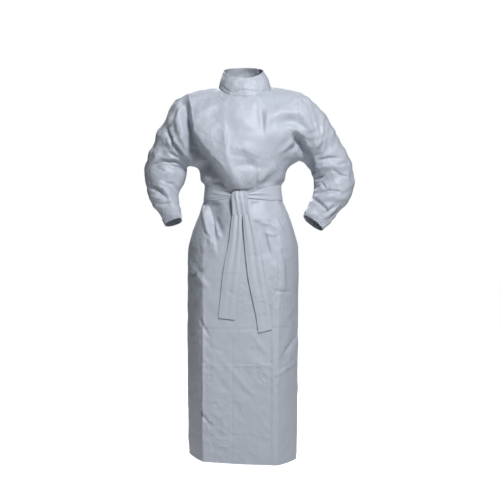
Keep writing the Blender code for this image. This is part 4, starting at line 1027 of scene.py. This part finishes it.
@dataclass
class ClothPiece(ABC):
    """One piece of the gown: its grid, its folds and how it is dressed."""

    form: GownForm
    node: str
    slot: Slot = Slot.LAMINATE
    ring: bool = False
    thickness: float = 0.0009
    folds: tuple[Fold, ...] = GOWN_FOLDS
    crumple: Optional[Crumple] = field(default_factory=Crumple)
    held: str = "hung"          # the cuffs are gathered, all else hangs
    rests_on: tuple[str, ...] = ()
    stitched_rows: tuple[int, ...] = ()         # rows that carry a line of stitches
    stitched_columns: tuple[int, ...] = ()
    grid: np.ndarray = field(init=False)
    normals: np.ndarray = field(init=False)

    @property
    def name(self) -> str:
        """The piece's name."""
        return f"{self.node}_cloth"

    @abstractmethod
    def outline(self) -> np.ndarray:
        """Give the piece's smooth grid of points."""

    def prepare(self) -> None:
        """Work out the smooth grid and its outward normals."""
        self.grid = self.outline()
        normals = surface_normals(self.grid, self.ring)
        if self.ring:
            centre = self.grid.mean(axis=1, keepdims=True)
        else:
            centre = np.array((0.0, 0.0, self.grid[..., 2].mean())).reshape(1, 1, 3)
        facing = float((normals * (self.grid - centre)).sum())
        self.normals = normals if facing > 0 else -normals

    def mask(self) -> np.ndarray:
        """Give the share of the folds that each point takes."""
        return np.ones(self.grid.shape[:2])

    def shaped(self, seams: SeamBook) -> np.ndarray:
        """Give the grid with its folds and facets."""
        normals = seams.settle(self.grid, self.normals, self.ring)
        height = np.zeros(self.grid.shape[:2])
        for fold in self.folds:
            height += fold.heights(self.grid, normals)
        if self.crumple:
            height += self.crumple.heights(self.grid)
        return self.grid + normals * (height * self.mask())[..., None]

    def sew(self, cloth: np.ndarray, stitching: Stitching) -> None:
        """Set the piece's stitches on its finished grid."""
        round_it = [*range(cloth.shape[1]), 0] if self.ring else slice(None)
        for row in self.stitched_rows:
            stitching.along(cloth[row, round_it], self.normals[row, round_it])
        for column in self.stitched_columns:
            stitching.along(cloth[:, column], self.normals[:, column])

    def build(self, seams: SeamBook, material: bpy.types.Material,
              stitching: Stitching) -> bpy.types.Object:
        """Make the piece's object and dress it.

        Args:
            seams: the shared directions of all seams.
            material: the piece's finish.
            stitching: takes the piece's stitches.

        Returns:
            The object, riding on the gown.
        """
        cloth = self.shaped(seams)
        self.sew(cloth, stitching)
        item = grid_object(self.name, cloth, self.ring, material)
        wall = item.modifiers.new("cloth", "SOLIDIFY")
        wall.thickness = self.thickness
        wall.offset = -1.0
        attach(item, BODY)
        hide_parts(self.node)
        log.info("%s: %d points", self.name, len(item.data.vertices))
        return item


def grid_object(name: str, grid: np.ndarray, ring: bool, material: bpy.types.Material) -> bpy.types.Object:
    """Make an object from a grid of points, with its faces out.

    Args:
        name: the object's name.
        grid: rows and columns of points.
        ring: whether the last column joins the first one.
        material: the finish.

    Returns:
        The object, with a UV map of columns and rows.
    """
    if ring:
        grid = np.concatenate((grid, grid[:, :1]), axis=1)
    rows, columns = grid.shape[:2]
    cloth = bmesh.new()
    cloth.loops.layers.uv.new("UVMap")
    bmesh.ops.create_grid(cloth, x_segments=columns - 1, y_segments=rows - 1, size=1.0, calc_uvs=True)
    for vertex, point in zip(cloth.verts, grid.reshape(-1, 3)):
        vertex.co = point
    if ring:
        bmesh.ops.remove_doubles(cloth, verts=cloth.verts[:], dist=1e-6)
    cloth.normal_update()
    centre = grid.mean(axis=1)
    facing = 0.0
    for face in cloth.faces:
        middle = face.calc_center_median()
        near = centre[int(np.abs(centre[:, 2] - middle.z).argmin())] if ring else (0.0, 0.0, middle.z)
        facing += face.normal.dot(middle - Vector(near)) * face.calc_area()
    if facing < 0:
        bmesh.ops.reverse_faces(cloth, faces=cloth.faces[:])
    item = object_from(name, cloth, material)
    item.data.shade_smooth()
    return item


@dataclass
class Panel(ClothPiece):
    """The front, or one half of the back."""

    side: Optional[Side] = None
    whole: Optional[np.ndarray] = None
    stitched_rows: tuple[int, ...] = (3, -3)
    stitched_columns: tuple[int, ...] = (2, -3)

    def outline(self) -> np.ndarray:
        """Take the whole front or back, or one half with its overlap."""
        if self.side is None:
            return self.whole
        if self.side is Side.LEFT:
            return self.whole[:, : MIDDLE + OVERLAP + 1].copy()
        half = self.whole[:, MIDDLE - OVERLAP:].copy()
        for column in range(half.shape[1]):
            half[:, column, 1] += self.form.back_lift((column - OVERLAP) / MIDDLE)
        return half

    def mask(self) -> np.ndarray:
        """Leave the cloth smooth where the belt lies on it."""
        z = np.zeros(self.grid.shape[0])
        z[:len(self.form.levels)] = self.form.levels[:, 0]
        edge = np.abs(z - BELT_Z) - BELT_HALF
        share = smooth_array(edge / GATHER_START)
        return np.repeat(share[:, None], self.grid.shape[1], axis=1)


@dataclass
class Sleeve(ClothPiece):
    """A sleeve, from the armhole to the cuff."""

    side: Side = Side.LEFT
    ring: bool = True
    stitched_rows: tuple[int, ...] = (2, -3)

    def ring_of(self, level: np.ndarray) -> np.ndarray:
        """One round of the sleeve, up its front and down its back."""
        outer_x, outer_z, inner_x, inner_z, y, half_depth = level
        outer = np.array((outer_x, y, outer_z))
        inner = np.array((inner_x, y, inner_z))
        points = []
        for step in range(2 * ARMHOLE_STEPS):
            turn = math.pi * step / ARMHOLE_STEPS
            point = inner + (outer - inner) * 0.5 * (1.0 - math.cos(turn))
            deep = math.sin(turn)
            point[1] -= half_depth * math.copysign(abs(deep) ** FULLNESS, deep)
            points.append(point)
        return np.array(points)

    def outline(self) -> np.ndarray:
        """Rings that leave the armhole's shape for the sleeve's own."""
        table = SLEEVE_RINGS[self.side]
        levels = column_spline(table, [RING_STEPS] * (len(table) - 1))
        shares = [step / ARMHOLE_STEPS for step in range(ARMHOLE_STEPS)]
        up = [self.form.armhole_point(self.side, Face.FRONT, share) for share in shares]
        down = [self.form.armhole_point(self.side, Face.BACK, 1.0 - share) for share in shares]
        seam = np.array(up + down)
        first = self.ring_of(levels[0])
        rings = []
        for index, level in enumerate(levels):
            ease = 1.0 - smooth(index / RING_STEPS / SLEEVE_EASE)
            rings.append(self.ring_of(level) + (seam - first) * ease)
        return np.array(rings)


@dataclass
class Cuff(ClothPiece):
    """A short cuff gathered over elastic."""

    sleeve: Optional[Sleeve] = None
    ring: bool = True
    slot: Slot = Slot.ELASTIC
    held: str = "gathered"
    rows: int = 12
    waves: int = 28             # gathers all round
    gather: float = 0.0016      # their depth
    rise: float = 3.0           # how soon they reach it
    drift: float = 1.05         # how far they wander sideways

    def outline(self) -> np.ndarray:
        """Rounds that go on from the sleeve's last one."""
        last = self.sleeve.grid[-1]
        following = np.roll(last, -1, axis=0)
        base = np.empty((2 * len(last), 3))
        base[0::2] = last
        base[1::2] = 0.5 * (last + following)
        centre = base.mean(axis=0)
        heading = centre - self.sleeve.grid[-1 - 2 * RING_STEPS].mean(axis=0)
        heading /= np.linalg.norm(heading)
        radial = base - centre
        out = radial / np.linalg.norm(radial, axis=1, keepdims=True)
        turns = np.arange(len(base)) / len(base) * 2.0 * np.pi
        rows = []
        for step in range(self.rows + 1):
            share = step / self.rows
            flat = radial - np.outer(radial @ heading, heading) * share
            wander = self.drift * np.sin(3.0 * turns + 5.0 * share)
            wave = np.sin(self.waves * turns + wander) * smooth(share * self.rise)
            scale = 1.0 + (CUFF_NARROW - 1.0) * share
            rows.append(centre + flat * scale + out * wave[:, None] * self.gather
                        + heading * CUFF_LENGTH * share)
        return np.array(rows)


@dataclass
class Collar(ClothPiece):
    """The stand collar, its ends lapped at the back."""

    front: Optional[np.ndarray] = None
    left: Optional[np.ndarray] = None
    right: Optional[np.ndarray] = None
    rows: int = 26
    stitched_rows: tuple[int, ...] = (2, -3)
    stitched_columns: tuple[int, ...] = (1, -2)

    def outline(self) -> np.ndarray:
        """Rows from the neckline up to the rim."""
        first = round(SHOULDER_SHARE * PANEL_COLUMNS)
        last = PANEL_COLUMNS - first
        stops = []
        for column in range(MIDDLE + OVERLAP, first, -1):
            stops.append((Face.BACK, column, self.left[-1, column], 0.0))
        for column in range(first, last + 1):
            stops.append((Face.FRONT, column, self.front[-1, column], 0.0))
        for column in range(last - 1, MIDDLE - OVERLAP - 1, -1):
            lift = self.form.back_lift(column / MIDDLE - 1.0)
            stops.append((Face.BACK, column, self.right[-1, column - MIDDLE + OVERLAP], lift))
        rows = []
        for step in range(self.rows + 1):
            share = step / self.rows
            row = []
            for face, column, base, lift in stops:
                angle = self.form.neck_angle(face, column / MIDDLE - 1.0)
                rim = self.form.ring_point(COLLAR_CENTRE, COLLAR_RADIUS, angle, lift)
                out = np.array((math.cos(math.radians(angle)), math.sin(math.radians(angle)), 0.0))
                row.append(base + (rim - base) * share + out * COLLAR_BULGE * math.sin(math.pi * share))
            rows.append(row)
        return np.array(rows)


@dataclass
class Belt(ClothPiece):
    """The belt all round, drawn narrow at the knot."""

    slot: Slot = Slot.BELT
    ring: bool = True
    rows: int = 18
    stitched_rows: tuple[int, ...] = (1, -2)
    folds: tuple[Fold, ...] = BELT_FOLDS
    crumple: Optional[Crumple] = field(default_factory=lambda: Crumple(0.0004, 0.0004, 0.0004))

    def outline(self) -> np.ndarray:
        """Rounds on the gown from the belt's lower edge to its upper one."""
        columns = range(PANEL_COLUMNS)
        stops = [(Face.FRONT, -1.0 + 2.0 * column / PANEL_COLUMNS) for column in columns]
        stops += [(Face.BACK, 1.0 - 2.0 * column / PANEL_COLUMNS) for column in columns]
        rows = []
        for step in range(self.rows + 1):
            share = 2.0 * step / self.rows - 1.0
            row = []
            for face, u in stops:
                half = BELT_HALF
                gap = BELT_CLEAR - BELT_SETTLE * smooth(BELT_EDGE_PACE * (BELT_EDGE - share))
                if face is Face.FRONT:
                    opened = smooth((abs(u - KNOT_U) - KNOT_REACH) / BELT_SPREAD)
                    half = BELT_AT_KNOT + (BELT_HALF - BELT_AT_KNOT) * opened
                else:
                    gap += BACK_LIFT * smooth((LAP_END - abs(u)) / LAP_SPREAD)
                point = self.form.body_point(face, u, self.form.level_at(BELT_Z + share * half))
                outward = point - np.array((0.0, 0.0, point[2]))
                row.append(point + outward / np.linalg.norm(outward) * gap)
            rows.append(row)
        return np.array(rows)


@dataclass
class Tail(ClothPiece):
    """A hanging end of the belt, folded lengthwise near the knot."""

    side: Side = Side.LEFT
    slot: Slot = Slot.BELT
    columns: int = 26
    pleats: int = 2
    skew: float = 1.15          # how far they are pushed to the right
    row_step: float = 0.004
    stitched_rows: tuple[int, ...] = (2,)
    stitched_columns: tuple[int, ...] = (1, -2)
    folds: tuple[Fold, ...] = TAIL_FOLDS
    crumple: Optional[Crumple] = field(default_factory=lambda: Crumple(0.0005, 0.0005, 0.0005))

    def outline(self) -> np.ndarray:
        """Rows from the tail's end up to the knot."""
        table = TAIL_ROWS[self.side]
        rows = []
        slant = TAIL_SLANT[self.side]
        for z, left, right, lift, pleat in column_spline(table, steps_between(table, self.row_step)):
            low = smooth(1.0 - (z - table[-1].z) / TAIL_END)
            near = lift * (1.0 - TAIL_SETTLE * smooth((table[0].z - z) / TAIL_FALL))
            row = []
            for column in range(self.columns + 1):
                share = column / self.columns
                x = left + (right - left) * share
                wave = math.cos(2.0 * math.pi * self.pleats * share ** self.skew)
                fold = pleat * (1.0 - wave) * 0.5
                height = z + slant * (share - 0.5) * low
                row.append((x, self.form.front_depth(x, height) - near - fold, height))
            rows.append(row)
        return np.array(rows[::-1])


@dataclass
class Knot:
    """The turned part of the belt, pressed into lengthwise pleats."""

    form: GownForm
    name: str = "knot_cloth"
    node: str = "belt_knot"
    sides: int = 112
    pleats: int = 3
    pleat: float = 0.0019       # their depth
    lean: float = 14.0          # how much they slant
    lean_z: float = -0.40       # the height from which they slant
    bend: float = 0.25          # how far they bend
    bend_pace: float = 45.0     # and how often on their way down
    wide: float = 0.6           # how square the section is at its sides
    deep: float = 0.7           # and at its front and back, with 1 for round
    row_step: float = 0.0022

    def outline(self) -> np.ndarray:
        """Rings of the knot from its top down."""
        rings = []
        steps = steps_between(KNOT_ROWS, self.row_step)
        for z, left, right, back, front in column_spline(KNOT_ROWS, steps):
            centre = 0.5 * (left + right)
            half = 0.5 * (right - left)
            ring = []
            for side in range(self.sides):
                turn = 2.0 * math.pi * side / self.sides
                x = centre + half * math.copysign(abs(math.cos(turn)) ** self.wide, math.cos(turn))
                share = 0.5 - 0.5 * math.copysign(abs(math.sin(turn)) ** self.deep, math.sin(turn))
                phase = (2.0 * self.pleats + 1.0) * (x - left) / (2.0 * half)
                phase += self.lean * (z - self.lean_z)
                phase += self.bend * math.sin(4.0 * share + self.bend_pace * z)
                sharp = 1.0 - 2.0 * abs(math.sin(0.5 * math.pi * phase))
                stand = back + (front - back) * share + self.pleat * sharp * share ** 3
                ring.append((x, self.form.front_depth(x, z) - stand, z))
            rings.append(ring)
        return np.array(rings)

    def build(self, material: bpy.types.Material) -> bpy.types.Object:
        """Make the knot as one closed body."""
        item = grid_object(self.name, self.outline(), True, material)
        body = bmesh.new()
        body.from_mesh(item.data)
        bmesh.ops.holes_fill(body, edges=body.edges[:], sides=0)
        bmesh.ops.recalc_face_normals(body, faces=body.faces[:])
        body.to_mesh(item.data)
        body.free()
        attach(item, BODY)
        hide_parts(self.node)
        log.info("%s: %d points", self.name, len(item.data.vertices))
        return item


class SurfaceGroups:
    """Shader groups that all the finishes share."""

    WANDER_SCALE = 9.0          # of the noise that bends the film's crumples
    WANDER = 0.03               # how far it bends them
    FINER = 2.7                 # how much smaller the second crumples are
    FINER_SHARE = 0.30          # and how deep, against the first ones
    PATCH_SCALE = 6.0           # of the patches that are crumpled
    PATCH_START = 0.38          # value of their noise at which they begin
    PATCH_GAIN = 3.2            # and how quickly they come in
    FIBRE_SCALE = 1100.0
    BROAD_SCALE = 7.0           # of the clouds in the colour
    FLECK_SCALE = 420.0         # of the fleck in it
    FLECK_SHARE = 0.5           # how strong the fleck is, against the clouds
    NOISE_MEAN = 0.5

    def __init__(self) -> None:
        """Build both groups once."""
        self.relief = self._relief()
        self.tone = self._tone()

    @staticmethod
    def _group(name: str, inputs: dict[str, float | tuple],
               outputs: dict[str, str]) -> bpy.types.NodeTree:
        """Start a group with named sockets."""
        group = bpy.data.node_groups.new(name, "ShaderNodeTree")
        for label, value in inputs.items():
            kind = "NodeSocketColor" if isinstance(value, tuple) else "NodeSocketFloat"
            socket = group.interface.new_socket(label, in_out="INPUT", socket_type=kind)
            socket.default_value = value
        for label, kind in outputs.items():
            group.interface.new_socket(label, in_out="OUTPUT", socket_type=kind)
        group.nodes.new("NodeGroupInput")
        group.nodes.new("NodeGroupOutput")
        return group

    def _relief(self) -> bpy.types.NodeTree:
        """Fine crumples of the film and the fleck of the fibres under it."""
        group = self._group(
            "film_relief",
            {"Crumple Scale": 38.0, "Crumple": 1.0, "Fibre": 0.15},
            {"Height": "NodeSocketFloat"},
        )
        nodes = NodeBench(group)
        place = nodes.add("ShaderNodeTexCoord").outputs["Object"]
        wander = nodes.add("ShaderNodeTexNoise", {"Vector": place, "Scale": self.WANDER_SCALE, "Detail": 3.0})
        bend = {0: wander.outputs["Color"], 1: (self.WANDER,) * 3}
        bent = nodes.add("ShaderNodeVectorMath", bend, "MULTIPLY")
        moved = nodes.add("ShaderNodeVectorMath", {0: place, 1: bent.outputs[0]}, "ADD").outputs[0]
        scale = nodes.given("Crumple Scale")
        large = nodes.add("ShaderNodeTexVoronoi", {"Vector": moved, "Scale": scale})
        finer = nodes.math("MULTIPLY", scale, self.FINER)
        small = nodes.add("ShaderNodeTexVoronoi", {"Vector": moved, "Scale": finer})
        facets = nodes.math("MULTIPLY_ADD", small.outputs["Distance"], self.FINER_SHARE,
                            large.outputs["Distance"])
        patch = nodes.add("ShaderNodeTexNoise", {"Vector": place, "Scale": self.PATCH_SCALE, "Detail": 2.0})
        spread = nodes.math("SUBTRACT", patch.outputs["Fac"], self.PATCH_START)
        spread = nodes.math("MULTIPLY", spread, self.PATCH_GAIN, clamp=True)
        facets = nodes.math("MULTIPLY", facets, spread)
        facets = nodes.math("MULTIPLY", facets, nodes.given("Crumple"))
        fleck = nodes.add("ShaderNodeTexNoise", {"Vector": place, "Scale": self.FIBRE_SCALE, "Detail": 2.0})
        fibre = nodes.math("MULTIPLY", fleck.outputs["Fac"], nodes.given("Fibre"))
        nodes.give("Height", nodes.math("ADD", facets, fibre))
        return group

    def _tone(self) -> bpy.types.NodeTree:
        """Colour and gloss of the film, a little uneven from place to place."""
        group = self._group(
            "film_tone",
            {"Color": (0.5, 0.5, 0.5, 1.0), "Uneven": 0.06, "Gloss": 0.38, "Gloss Change": 0.12},
            {"Color": "NodeSocketColor", "Roughness": "NodeSocketFloat"},
        )
        nodes = NodeBench(group)
        place = nodes.add("ShaderNodeTexCoord").outputs["Object"]
        broad = nodes.add("ShaderNodeTexNoise", {"Vector": place, "Scale": self.BROAD_SCALE, "Detail": 4.0})
        fine = nodes.add("ShaderNodeTexNoise", {"Vector": place, "Scale": self.FLECK_SCALE, "Detail": 2.0})
        mixed = nodes.math("MULTIPLY_ADD", fine.outputs["Fac"], self.FLECK_SHARE, broad.outputs["Fac"])
        shift = nodes.math("SUBTRACT", mixed, self.NOISE_MEAN * (1.0 + self.FLECK_SHARE))
        value = nodes.math("MULTIPLY_ADD", shift, nodes.given("Uneven"), 1.0)
        tint = nodes.add("ShaderNodeVectorMath", {0: nodes.given("Color")}, "SCALE")
        group.links.new(value, tint.inputs["Scale"])
        nodes.give("Color", tint.outputs[0])
        matt = nodes.math("SUBTRACT", broad.outputs["Fac"], self.NOISE_MEAN)
        rough = nodes.math("MULTIPLY_ADD", matt, nodes.given("Gloss Change"), nodes.given("Gloss"))
        nodes.give("Roughness", rough)
        return group


class NodeBench:
    """Short ways to add and join nodes in one tree."""

    def __init__(self, tree: bpy.types.NodeTree) -> None:
        """Take the tree, and its group sockets if it has any."""
        self.tree = tree
        self.source = next((node for node in tree.nodes if node.type == "GROUP_INPUT"), None)
        self.sink = next((node for node in tree.nodes if node.type == "GROUP_OUTPUT"), None)

    def add(self, kind: str, values: Optional[dict] = None, operation: str = "") -> bpy.types.Node:
        """Add a node with its inputs set or linked.

        Args:
            kind: the node's type.
            values: input names or numbers with a value or a socket each.
            operation: the node's operation, where it has one.

        Returns:
            The node.
        """
        node = self.tree.nodes.new(kind)
        if operation:
            node.operation = operation
        for name, value in (values or {}).items():
            if isinstance(value, bpy.types.NodeSocket):
                self.tree.links.new(value, node.inputs[name])
            else:
                node.inputs[name].default_value = value
        return node

    def group(self, tree: bpy.types.NodeTree, values: dict) -> bpy.types.Node:
        """Add a shared group with its inputs set."""
        node = self.tree.nodes.new("ShaderNodeGroup")
        node.node_tree = tree
        for name, value in values.items():
            node.inputs[name].default_value = value
        return node

    def math(self, operation: str, *values: float | bpy.types.NodeSocket,
             clamp: bool = False) -> bpy.types.NodeSocket:
        """Add a math node and give its output."""
        node = self.add("ShaderNodeMath", dict(enumerate(values)), operation)
        node.use_clamp = clamp
        return node.outputs[0]

    def given(self, name: str) -> bpy.types.NodeSocket:
        """Give a socket that the group takes in."""
        return self.source.outputs[name]

    def give(self, name: str, socket: bpy.types.NodeSocket) -> None:
        """Give a socket out of the group."""
        self.tree.links.new(socket, self.sink.inputs[name])


@dataclass(frozen=True)
class LaminateFinish:
    """Coated cloth with a soft film gloss."""

    name: str
    color: tuple[float, float, float]
    gloss: float = 0.50
    gloss_change: float = 0.14
    uneven: float = 0.07
    crumple_scale: float = 38.0
    crumple: float = 1.0
    fibre: float = 0.06
    relief: float = 0.0040

    def material(self, groups: SurfaceGroups) -> bpy.types.Material:
        """Build the material.

        Args:
            groups: the shader groups that all finishes share.

        Returns:
            The material.
        """
        material = bpy.data.materials.new(self.name)
        material.use_nodes = True
        tree = material.node_tree
        shader = tree.nodes["Principled BSDF"]
        nodes = NodeBench(tree)
        tone = nodes.group(groups.tone, {
            "Color": (*self.color, 1.0),
            "Uneven": self.uneven,
            "Gloss": self.gloss,
            "Gloss Change": self.gloss_change,
        })
        relief = nodes.group(groups.relief, {
            "Crumple Scale": self.crumple_scale,
            "Crumple": self.crumple,
            "Fibre": self.fibre,
        })
        bump = nodes.add("ShaderNodeBump", {"Height": relief.outputs["Height"], "Distance": self.relief})
        tree.links.new(tone.outputs["Color"], shader.inputs["Base Color"])
        tree.links.new(tone.outputs["Roughness"], shader.inputs["Roughness"])
        tree.links.new(bump.outputs["Normal"], shader.inputs["Normal"])
        shader.inputs["IOR"].default_value = 1.5
        return material


LAMINATE_COLOR = (0.410, 0.443, 0.508)
THREAD_COLOR = (0.60, 0.63, 0.68)
BELT_COLOR = (0.420, 0.453, 0.518)


@dataclass
class Gown:
    """The whole garment."""

    form: GownForm = field(default_factory=GownForm)
    groups: SurfaceGroups = field(default_factory=SurfaceGroups)

    pieces: list[tuple[ClothPiece, bpy.types.Material]] = field(default_factory=list)

    def finish(self, name: str, color: tuple[float, float, float], **values: float) -> bpy.types.Material:
        """Make one finish of the cloth."""
        return LaminateFinish(name, color, **values).material(self.groups)

    def cut(self, piece: ClothPiece, material: bpy.types.Material) -> ClothPiece:
        """Shape one piece and lay it ready for the sewing."""
        piece.prepare()
        self.pieces.append((piece, material))
        return piece

    def build(self) -> None:
        """Build every piece in the order in which they are sewn."""
        laminate = self.finish("laminate", LAMINATE_COLOR)
        sleeve_film = self.finish("sleeve laminate", LAMINATE_COLOR, crumple=1.2)
        belt_film = self.finish("belt laminate", BELT_COLOR, crumple=0.7)
        elastic = self.finish("elastic cuff", LAMINATE_COLOR, crumple=0.5, crumple_scale=90.0)
        back = self.form.panel(Face.BACK)
        front = self.cut(Panel(self.form, "front", whole=self.form.panel(Face.FRONT)), laminate)
        left = self.cut(Panel(self.form, "back_left", side=Side.LEFT, whole=back), laminate)
        right = self.cut(Panel(self.form, "back_right", side=Side.RIGHT, whole=back), laminate)
        self.cut(Collar(self.form, "collar", front=front.grid, left=left.grid, right=right.grid), laminate)
        for side in Side:
            sleeve = self.cut(Sleeve(self.form, f"sleeve_{side.value}", side=side), sleeve_film)
            self.cut(Cuff(self.form, f"cuff_{side.value}", sleeve=sleeve), elastic)
        self.cut(Belt(self.form, "belt"), belt_film)
        for side in Side:
            self.cut(Tail(self.form, f"tail_{side.value}", side=side, rests_on=("knot_cloth",)), belt_film)
        seams = SeamBook()
        for piece, _ in self.pieces:
            seams.add(piece.grid, piece.normals, piece.ring)
        stitching = Stitching()
        Knot(self.form).build(belt_film)
        for piece, material in self.pieces:
            piece.build(seams, material, stitching)
        stitching.build(self.finish("thread", THREAD_COLOR, crumple=0.0))


@dataclass(frozen=True)
class Light:
    """A soft square lamp that looks at the gown."""

    name: str
    place: tuple[float, float, float]
    size: float
    power: float

    def build(self, target: Vector) -> None:
        """Hang the lamp and turn it to its target."""
        data = bpy.data.lights.new(self.name, "AREA")
        data.shape = "SQUARE"
        data.size = self.size
        data.energy = self.power
        lamp = linked(self.name, data)
        lamp.location = self.place
        lamp.rotation_euler = (target - Vector(self.place)).to_track_quat("-Z", "Y").to_euler()


@dataclass
class Studio:
    """The floor, the light and the camera."""

    floor_z: float = -1.443
    camera_place: tuple[float, float, float] = (0.025, -3.6, -0.573)
    lens: float = 72.4          # in millimetres
    sensor: float = 36.0        # its width in millimetres
    soft_light: float = 0.075   # light from the surroundings
    floor_size: float = 30.0
    floor_tone: float = 0.70
    floor_glow: float = 0.95    # what the camera sees of it on top of the light
    target: tuple[float, float, float] = (0.0, 0.0, -0.55)
    lights: tuple[Light, ...] = (
        Light("key lamp", (0.82, -2.30, 1.62), 0.65, 104.0),
        Light("fill lamp", (1.6, -3.3, -0.3), 2.0, 13.0),
        Light("back lamp", (-0.9, 2.7, 1.9), 1.4, 120.0),
    )

    def build(self) -> None:
        """Set up everything round the gown."""
        self.build_floor()
        self.build_world()
        for light in self.lights:
            light.build(Vector(self.target))
        data = bpy.data.cameras.new("camera")
        data.lens = self.lens
        data.sensor_width = self.sensor
        camera = linked("camera", data)
        camera.location = self.camera_place
        camera.rotation_euler = (math.radians(90.0), 0.0, 0.0)
        bpy.context.scene.camera = camera
        bpy.context.scene.view_settings.view_transform = "Standard"

    def build_floor(self) -> None:
        """A plain pale floor under the hanging gown."""
        material = bpy.data.materials.new("studio floor")
        material.use_nodes = True
        shader = material.node_tree.nodes["Principled BSDF"]
        shader.inputs["Base Color"].default_value = (*(self.floor_tone,) * 3, 1.0)
        shader.inputs["Roughness"].default_value = 0.9
        shader.inputs["Emission Color"].default_value = (1.0, 1.0, 1.0, 1.0)
        nodes = NodeBench(material.node_tree)
        path = nodes.add("ShaderNodeLightPath")
        glow = nodes.math("MULTIPLY", path.outputs["Is Camera Ray"], self.floor_glow)
        material.node_tree.links.new(glow, shader.inputs["Emission Strength"])
        plane = bmesh.new()
        bmesh.ops.create_grid(plane, x_segments=1, y_segments=1, size=self.floor_size)
        bmesh.ops.translate(plane, verts=plane.verts[:], vec=(0.0, 0.0, self.floor_z))
        floor = object_from("floor", plane, material)

    def build_world(self) -> None:
        """White surroundings, brighter behind the gown than they light it."""
        world = bpy.data.worlds.new("studio")
        world.use_nodes = True
        bpy.context.scene.world = world
        tree = world.node_tree
        soft = tree.nodes["Background"]
        soft.inputs["Color"].default_value = (0.95, 0.97, 1.0, 1.0)
        soft.inputs["Strength"].default_value = self.soft_light
        bright = tree.nodes.new("ShaderNodeBackground")
        bright.inputs["Color"].default_value = (1.0, 1.0, 1.0, 1.0)
        bright.inputs["Strength"].default_value = 1.0
        path = tree.nodes.new("ShaderNodeLightPath")
        mix = tree.nodes.new("ShaderNodeMixShader")
        tree.links.new(path.outputs["Is Camera Ray"], mix.inputs[0])
        tree.links.new(soft.outputs[0], mix.inputs[1])
        tree.links.new(bright.outputs[0], mix.inputs[2])
        tree.links.new(mix.outputs[0], tree.nodes["World Output"].inputs["Surface"])


def main() -> None:
    """Build the gown and its studio."""
    logging.basicConfig(level=logging.INFO, format="%(message)s")
    Gown().build()
    Studio().build()


if __name__ == "__main__":
    main()
